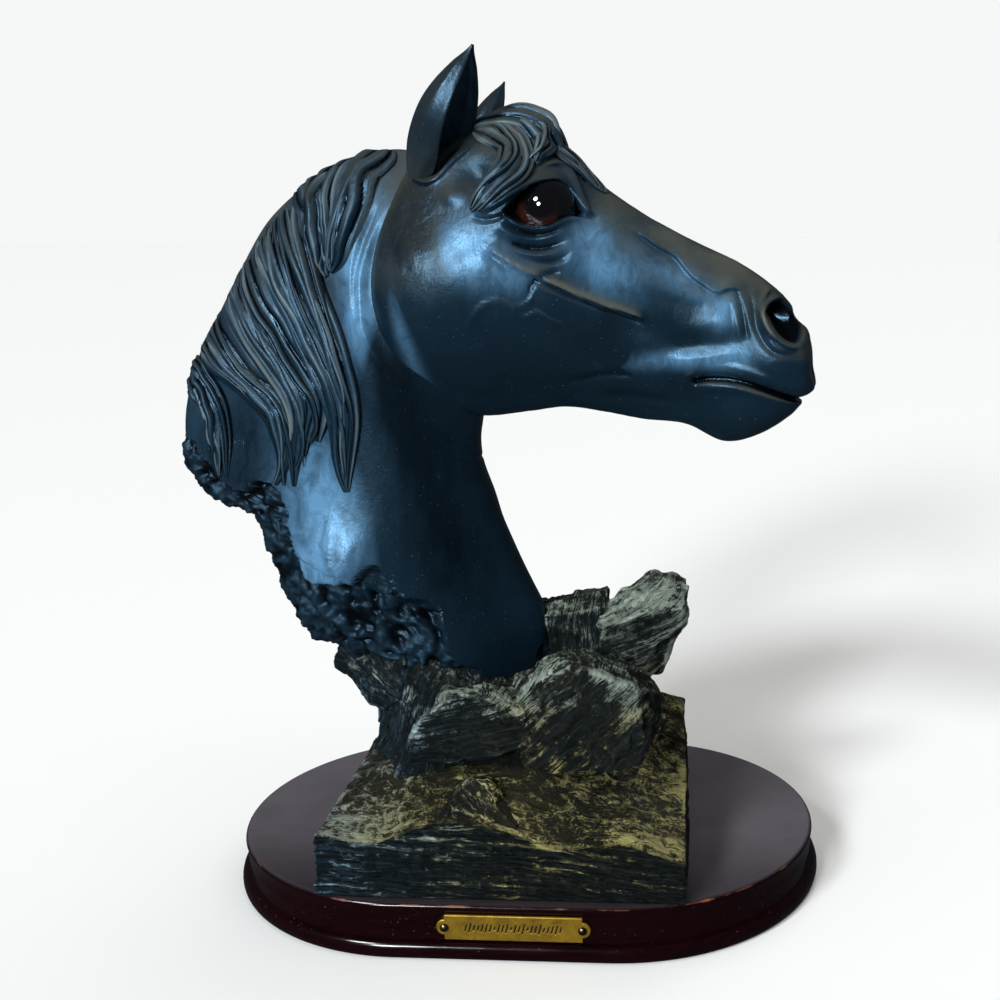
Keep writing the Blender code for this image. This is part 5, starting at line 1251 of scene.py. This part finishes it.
def lock_shell(surface, normals, path, half_width, height, root, strands, seed, rows=110, columns=56,
               lift=0.0):
    """A tapering oval swept along a path laid on a surface. Strands run round it as |sin(n a / 2 +
    drift)|, which gives rounded backs and sharp furrows; the drift is slow noise along the lock."""
    spots, outward = lay_on(surface, normals, curve(path, 26))
    spots, outward = soften(spots, 3), soften(outward, 3)
    spots, outward = curve(spots, rows), unit(curve(outward, rows))
    along = np.linspace(0, 1, rows)
    side = unit(np.cross(outward, unit(np.gradient(spots, axis=0))))
    taper = np.sqrt(smooth_step(-0.02, 0.14, along)) * np.sqrt(smooth_step(-0.05, 0.4, 1 - along))
    angle = np.linspace(0, 2 * math.pi, columns, endpoint=False)
    track = np.stack((5 * along, np.full(rows, 1.7 * seed), np.zeros(rows)), axis=-1)
    drift = 1.2 * noise(track, 1.6, seed)[:, None] + 0.5 * noise(track, 0.7, seed + 1)[:, None]
    uneven = 0.5 * np.sin(angle + 1.3 * seed)[None]
    coarse = np.abs(np.sin(strands * angle[None] / 2 + drift + uneven))
    thin = np.abs(np.sin((2 * strands + 3) * angle[None] / 2 + 2.0 * drift))
    backs = 0.80 * coarse**0.55 + 0.20 * thin**0.7
    swell = 1 + 0.46 * (backs - 0.78)
    rooted = smooth_step(0, root, along)[:, None]
    across = half_width * (1.25 - 0.25 * rooted) * taper[:, None] * np.cos(angle) * swell
    up = (height * np.sin(angle) * swell + lift) * taper[:, None] * (0.3 + 0.7 * rooted)
    points = spots[:, None] + side[:, None] * across[..., None] + outward[:, None] * up[..., None]
    streak = np.stack(np.broadcast_arrays(2.5 * along[:, None], 2.2 * np.cos(angle), 2.2 * np.sin(angle)),
                      axis=-1)
    # The mark is high on the strands' backs, which are rubbed, and low in the furrows, which are painted dark
    # as shade
    return points, 2.6 * (backs - 0.72) + 0.7 * noise(streak, 1.0, seed + 2)


def lock_group(surface, normals, rear, front, count, half_width, height, root, seed):
    """Locks of uneven breadth that fill the strip between a rear and a front strand, with narrow
    locks over the seams between them and fine strands on top."""
    rear, front = np.array(rear, float), np.array(front, float)
    knots = np.linspace(0, 1, 9)
    rear = spline_weights(knots, len(rear)) @ rear
    front = spline_weights(knots, len(front)) @ front
    short = np.linalg.norm(np.diff(rear, axis=0), axis=1).sum() < SHORT_LOCK
    for index in range(count):
        share = (index + 0.5) / count
        sway = 1.5 * np.sin(3.0 * knots + 2.1 * index)[:, None] * np.array((1, 0, 0))
        breadth = half_width * (1 + 0.22 * math.sin(2.9 * index + seed))
        thickness = height * (1 + 0.26 * math.sin(1.7 * index))
        yield lock_shell(surface, normals, rear + (front - rear) * share + sway, breadth, thickness, root,
                         5 + index % 3, seed + 10 * index, 60 if short else 110)
    if short:
        return
    for place, crossing, size, (strands, first_seed, rows, columns, lift) in OVER_LOCKS:
        for index in range(count - 1):
            share = (index + place[0] + place[1] * math.sin(place[2] * index)) / count
            turn_over = crossing[0] * np.sin(crossing[1] * knots + crossing[2] * index)[:, None]
            path = rear + (front - rear) * np.clip(share + turn_over, 0.02, 0.98)
            breadth = size[0] + size[1] * math.sin(2.3 * index)
            yield lock_shell(surface, normals, path, breadth, size[2], root, strands,
                             seed + first_seed + 10 * index, rows, columns, height * lift)


hair = resin_finish("patinated_hair", 0.34, HAIR_RUBBED)
coarse_neck, *_ = neck_shell(np.linspace(0, 1, 120), np.linspace(0, 1, 96, endpoint=False), fine=False)
coarse_normals = grid_normals(coarse_neck)
for order, (label, group) in enumerate(MANE_GROUPS.items()):
    locks = list(lock_group(coarse_neck, coarse_normals, *group, 100 * order))
    mane = shells_object("mane_" + label, [to_model(points) for points, _ in locks], hair,
                         {"ridge": [strand for _, strand in locks],
                          "upward": [0.6 * grid_normals(points)[..., 2] for points, _ in locks],
                          "broken": [0 * strand for _, strand in locks],
                          "painted_highlight_and_shade": [0.35 * (strand - 0.2).clip(0, 1) for _, strand in locks]})
    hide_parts("cast_horse_head_and_rock")


# Forelock: locks that fall from the poll over the temple, the brow and the forehead, laid on the
# head in the same way.
FORELOCK_GROUPS = {
    "over_temple": (((-10.9, -8, 277.7), (-4.5, -12, 275.6), (0.8, -16, 272.2), (2, -20, 267),
                     (-0.8, -21, 261.5), (-3.6, -22, 255.8), (-6.1, -23, 250.1)),
                    ((-4.1, -5, 281.9), (3.6, -11, 278.2), (9, -15, 273.6), (12, -18, 267.5),
                     (9, -20, 260.5), (1, -22, 254), (-5.5, -22.5, 250.3)),
                    3, 3.5, 3.4, 0.4),
    "over_brow": (((2, -6, 281.5), (8, -10, 278), (12, -14, 273), (12.3, -16, 268.5), (11.8, -17, 265.5)),
                  ((7, -4, 282), (12.4, -8, 278.5), (16.1, -11, 273.5), (14.7, -14, 268.8), (12.6, -16, 265)),
                  2, 3, 4.6, 0.3),
    "crown": (((-14, -3, 280), (-4, -5, 281), (6, -6, 281), (14, -8, 275.5), (19.5, -9, 270)),
              ((-14, 5, 280), (-4, 5, 282), (7, 4, 281.5), (15, 3, 275), (20.5, 2, 269.5)),
              4, 4, 8, 1),
    "down_forehead": (((4, -6, 281), (14, -8, 275), (20, -9.5, 269.5), (28, -10, 262.5), (35, -9.5, 257.5)),
                      ((5, 3, 281.5), (15, 2, 275.5), (21, 1, 269), (29, -3, 262.5), (35.5, -7, 257)),
                      3, 3.6, 2.4, 0.2),
    "far_side": (((-14, 12, 279), (-2, 16, 277), (8, 20, 269), (10, 22, 259)),
                 ((-8, 5, 281), (6, 7, 280), (14, 12, 271), (18, 16, 262)),
                 4, 4.4, 4, 1),
}
coarse_head, _ = head_shell(np.linspace(0, 1, 110), np.linspace(0, 1, 104, endpoint=False))
coarse_normals = grid_normals(coarse_head)
locks = []
for order, group in enumerate(FORELOCK_GROUPS.values()):
    locks += lock_group(coarse_head, coarse_normals, *group, 2000 + 100 * order)
locks = [(turn_head(points), strand) for points, strand in locks]
forelock = shells_object("forelock", [to_model(points) for points, _ in locks], hair,
                         {"ridge": [strand + 0.25 for _, strand in locks],
                          "upward": [grid_normals(points)[..., 2] for points, _ in locks],
                          "broken": [0 * strand for _, strand in locks],
                          "painted_highlight_and_shade": [0.5 * (strand - 0.15).clip(0, 1) for _, strand in locks]})
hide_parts("cast_horse_head_and_rock")


# Nameplate: thin stamped brass with a rounded lug at each end, polished and then mottled by
# handling. Rows of shallow slanting strokes stand where such plates are engraved.
PLATE_LENGTH = 47.5
PLATE_HEIGHT = 9.2
PLATE_THICKNESS = 0.8
LUG_RADIUS = 2.8
PLATE_CENTRE_X = 4.7
STROKES = 24
STROKE_ROW = 34.0
BRASS = (0.42, 0.26, 0.022)
BRASS_DULL = (0.17, 0.095, 0.012)
STROKE_FILL = (0.010, 0.008, 0.006)
band_y = -(PLINTH_WIDTH / 2 - BAND_INSET)
plate_z = (BEAD_HEIGHT + FOOT_STEP + PLINTH_HEIGHT - EDGE_ROUND - LIP_STEP) / 2


def stroke_depth(x, z):
    """Slanting strokes in a row: the distance to the nearest one's middle line, as a furrow."""
    pitch = STROKE_ROW / STROKES
    cell = (x - 0.28 * z + STROKE_ROW / 2) / pitch
    order = np.floor(cell)
    reach = 1.15 + 0.75 * np.sin(2.4 * order) * np.sin(0.9 * order + 1)
    furrow = np.exp(-((cell - order - 0.5) * pitch / 0.24) ** 2)
    row = smooth_step(0, 0.5, STROKE_ROW / 2 - np.abs(x))
    return furrow * row * (1 - smooth_step(reach, reach + 0.4, np.abs(z)))


def plate_shell(rows=74, columns=440):
    """Rings shrunk from the plate's outline over its front, which carries the strokes."""
    half_x, half_z = PLATE_LENGTH / 2, PLATE_HEIGHT / 2
    turn = np.linspace(-math.pi / 2, math.pi / 2, 40)
    lug = np.stack((half_x + LUG_RADIUS * np.cos(turn), LUG_RADIUS * np.sin(turn)), axis=1)
    right = np.concatenate((((0, -half_z), (half_x, -half_z)), lug, ((half_x, half_z), (0, half_z))))
    outline = np.concatenate((right, -right[1:]))
    edge = walk_along(outline, np.linspace(0, 1, columns, endpoint=False))
    spine = np.stack((np.clip(edge[:, 0], -half_x + 2, half_x - 2), np.zeros(columns)), axis=1)
    shrink = np.concatenate(((0, 0, 0), np.linspace(0.02, 1, rows - 3)))
    spot = edge + (spine - edge) * shrink[:, None, None]
    rim = np.minimum(shrink * half_z, 1)[:, None] * np.ones(columns)
    depth = 0.12 * (1 - smooth_step(0.0, 0.5, rim))
    furrow = stroke_depth(spot[..., 0], spot[..., 1])
    back = band_y - CLEARANCE
    front = back - PLATE_THICKNESS + depth + 0.16 * furrow
    front[:3] = np.array((back, back - 0.3, back - PLATE_THICKNESS + 0.25))[:, None]
    return np.stack((PLATE_CENTRE_X + spot[..., 0], front, plate_z + spot[..., 1]), axis=-1), furrow


brass, tree, shader = new_finish("brass_sheet", 0.3, Metallic=0.7)
place = object_place(tree)
mottle = cloud(tree, place, 160.0, 6.0, 0.7, 1.0)
colour = mix_colours(tree, span(tree, mottle, 0.32, 0.68), BRASS_DULL, BRASS)
colour = mix_colours(tree, span(tree, mark_value(tree, "stroke"), 0.25, 0.6), colour, STROKE_FILL)
paint(tree, shader, Base_Color=colour, Roughness=total(tree, (mottle, -0.25), 0.5))
raise_surface(tree, shader, cloud(tree, object_place(tree, (4, 1, 60)), 40.0, 4.0), 0.00006)
points, furrow = plate_shell()
plate = shells_object("nameplate", [points * MM], brass, {"stroke": [furrow]}, crease=40)
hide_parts("brass_nameplate")


# Pins: two round-head brass nails, browned, driven through the plate's lugs into the plinth. Each
# is a domed head on a plain shank, and the head holds the plate to the band.
PIN_HEAD_RADIUS = 1.5
PIN_HEAD_HEIGHT = 0.9
PIN_SHANK_RADIUS = 0.7
PIN_SHANK_LENGTH = 5.5
PIN_DARK = (0.045, 0.034, 0.020)
PIN_BRIGHT = (0.20, 0.155, 0.085)
pin_brass, tree, shader = new_finish("pin_brass", 0.28, Metallic=1.0)
place = object_place(tree)
tarnish = cloud(tree, place, 900.0, 4.0)
paint(tree, shader, Base_Color=mix_colours(tree, tarnish, PIN_DARK, PIN_BRIGHT),
      Roughness=total(tree, (tarnish, 0.3), 0.14))
raise_surface(tree, shader, tarnish, 0.00005)


def pin_shell(x):
    """A dome on a plain shank, turned about the Y axis: radius against depth, carried round."""
    turn = np.linspace(0.04, math.pi / 2, 14)
    head_y = band_y - 2 * CLEARANCE - PLATE_THICKNESS - PIN_HEAD_HEIGHT
    radius = np.concatenate((PIN_HEAD_RADIUS * np.sin(turn), (PIN_SHANK_RADIUS,) * 2))
    depth = np.concatenate((PIN_HEAD_HEIGHT * (1 - np.cos(turn)),
                            (PIN_HEAD_HEIGHT, PIN_HEAD_HEIGHT + PIN_SHANK_LENGTH)))
    around = np.linspace(0, 2 * math.pi, 40, endpoint=False)
    return np.stack((x + np.outer(radius, np.cos(around)), np.outer(head_y + depth, np.ones(40)),
                     plate_z + np.outer(radius, np.sin(around))), axis=-1)


for name, side in (("pin_left", -1), ("pin_right", 1)):
    pin = shells_object(name + "_turned", [pin_shell(PLATE_CENTRE_X + side * PLATE_LENGTH / 2) * MM],
                        pin_brass, crease=50)
    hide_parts(name)
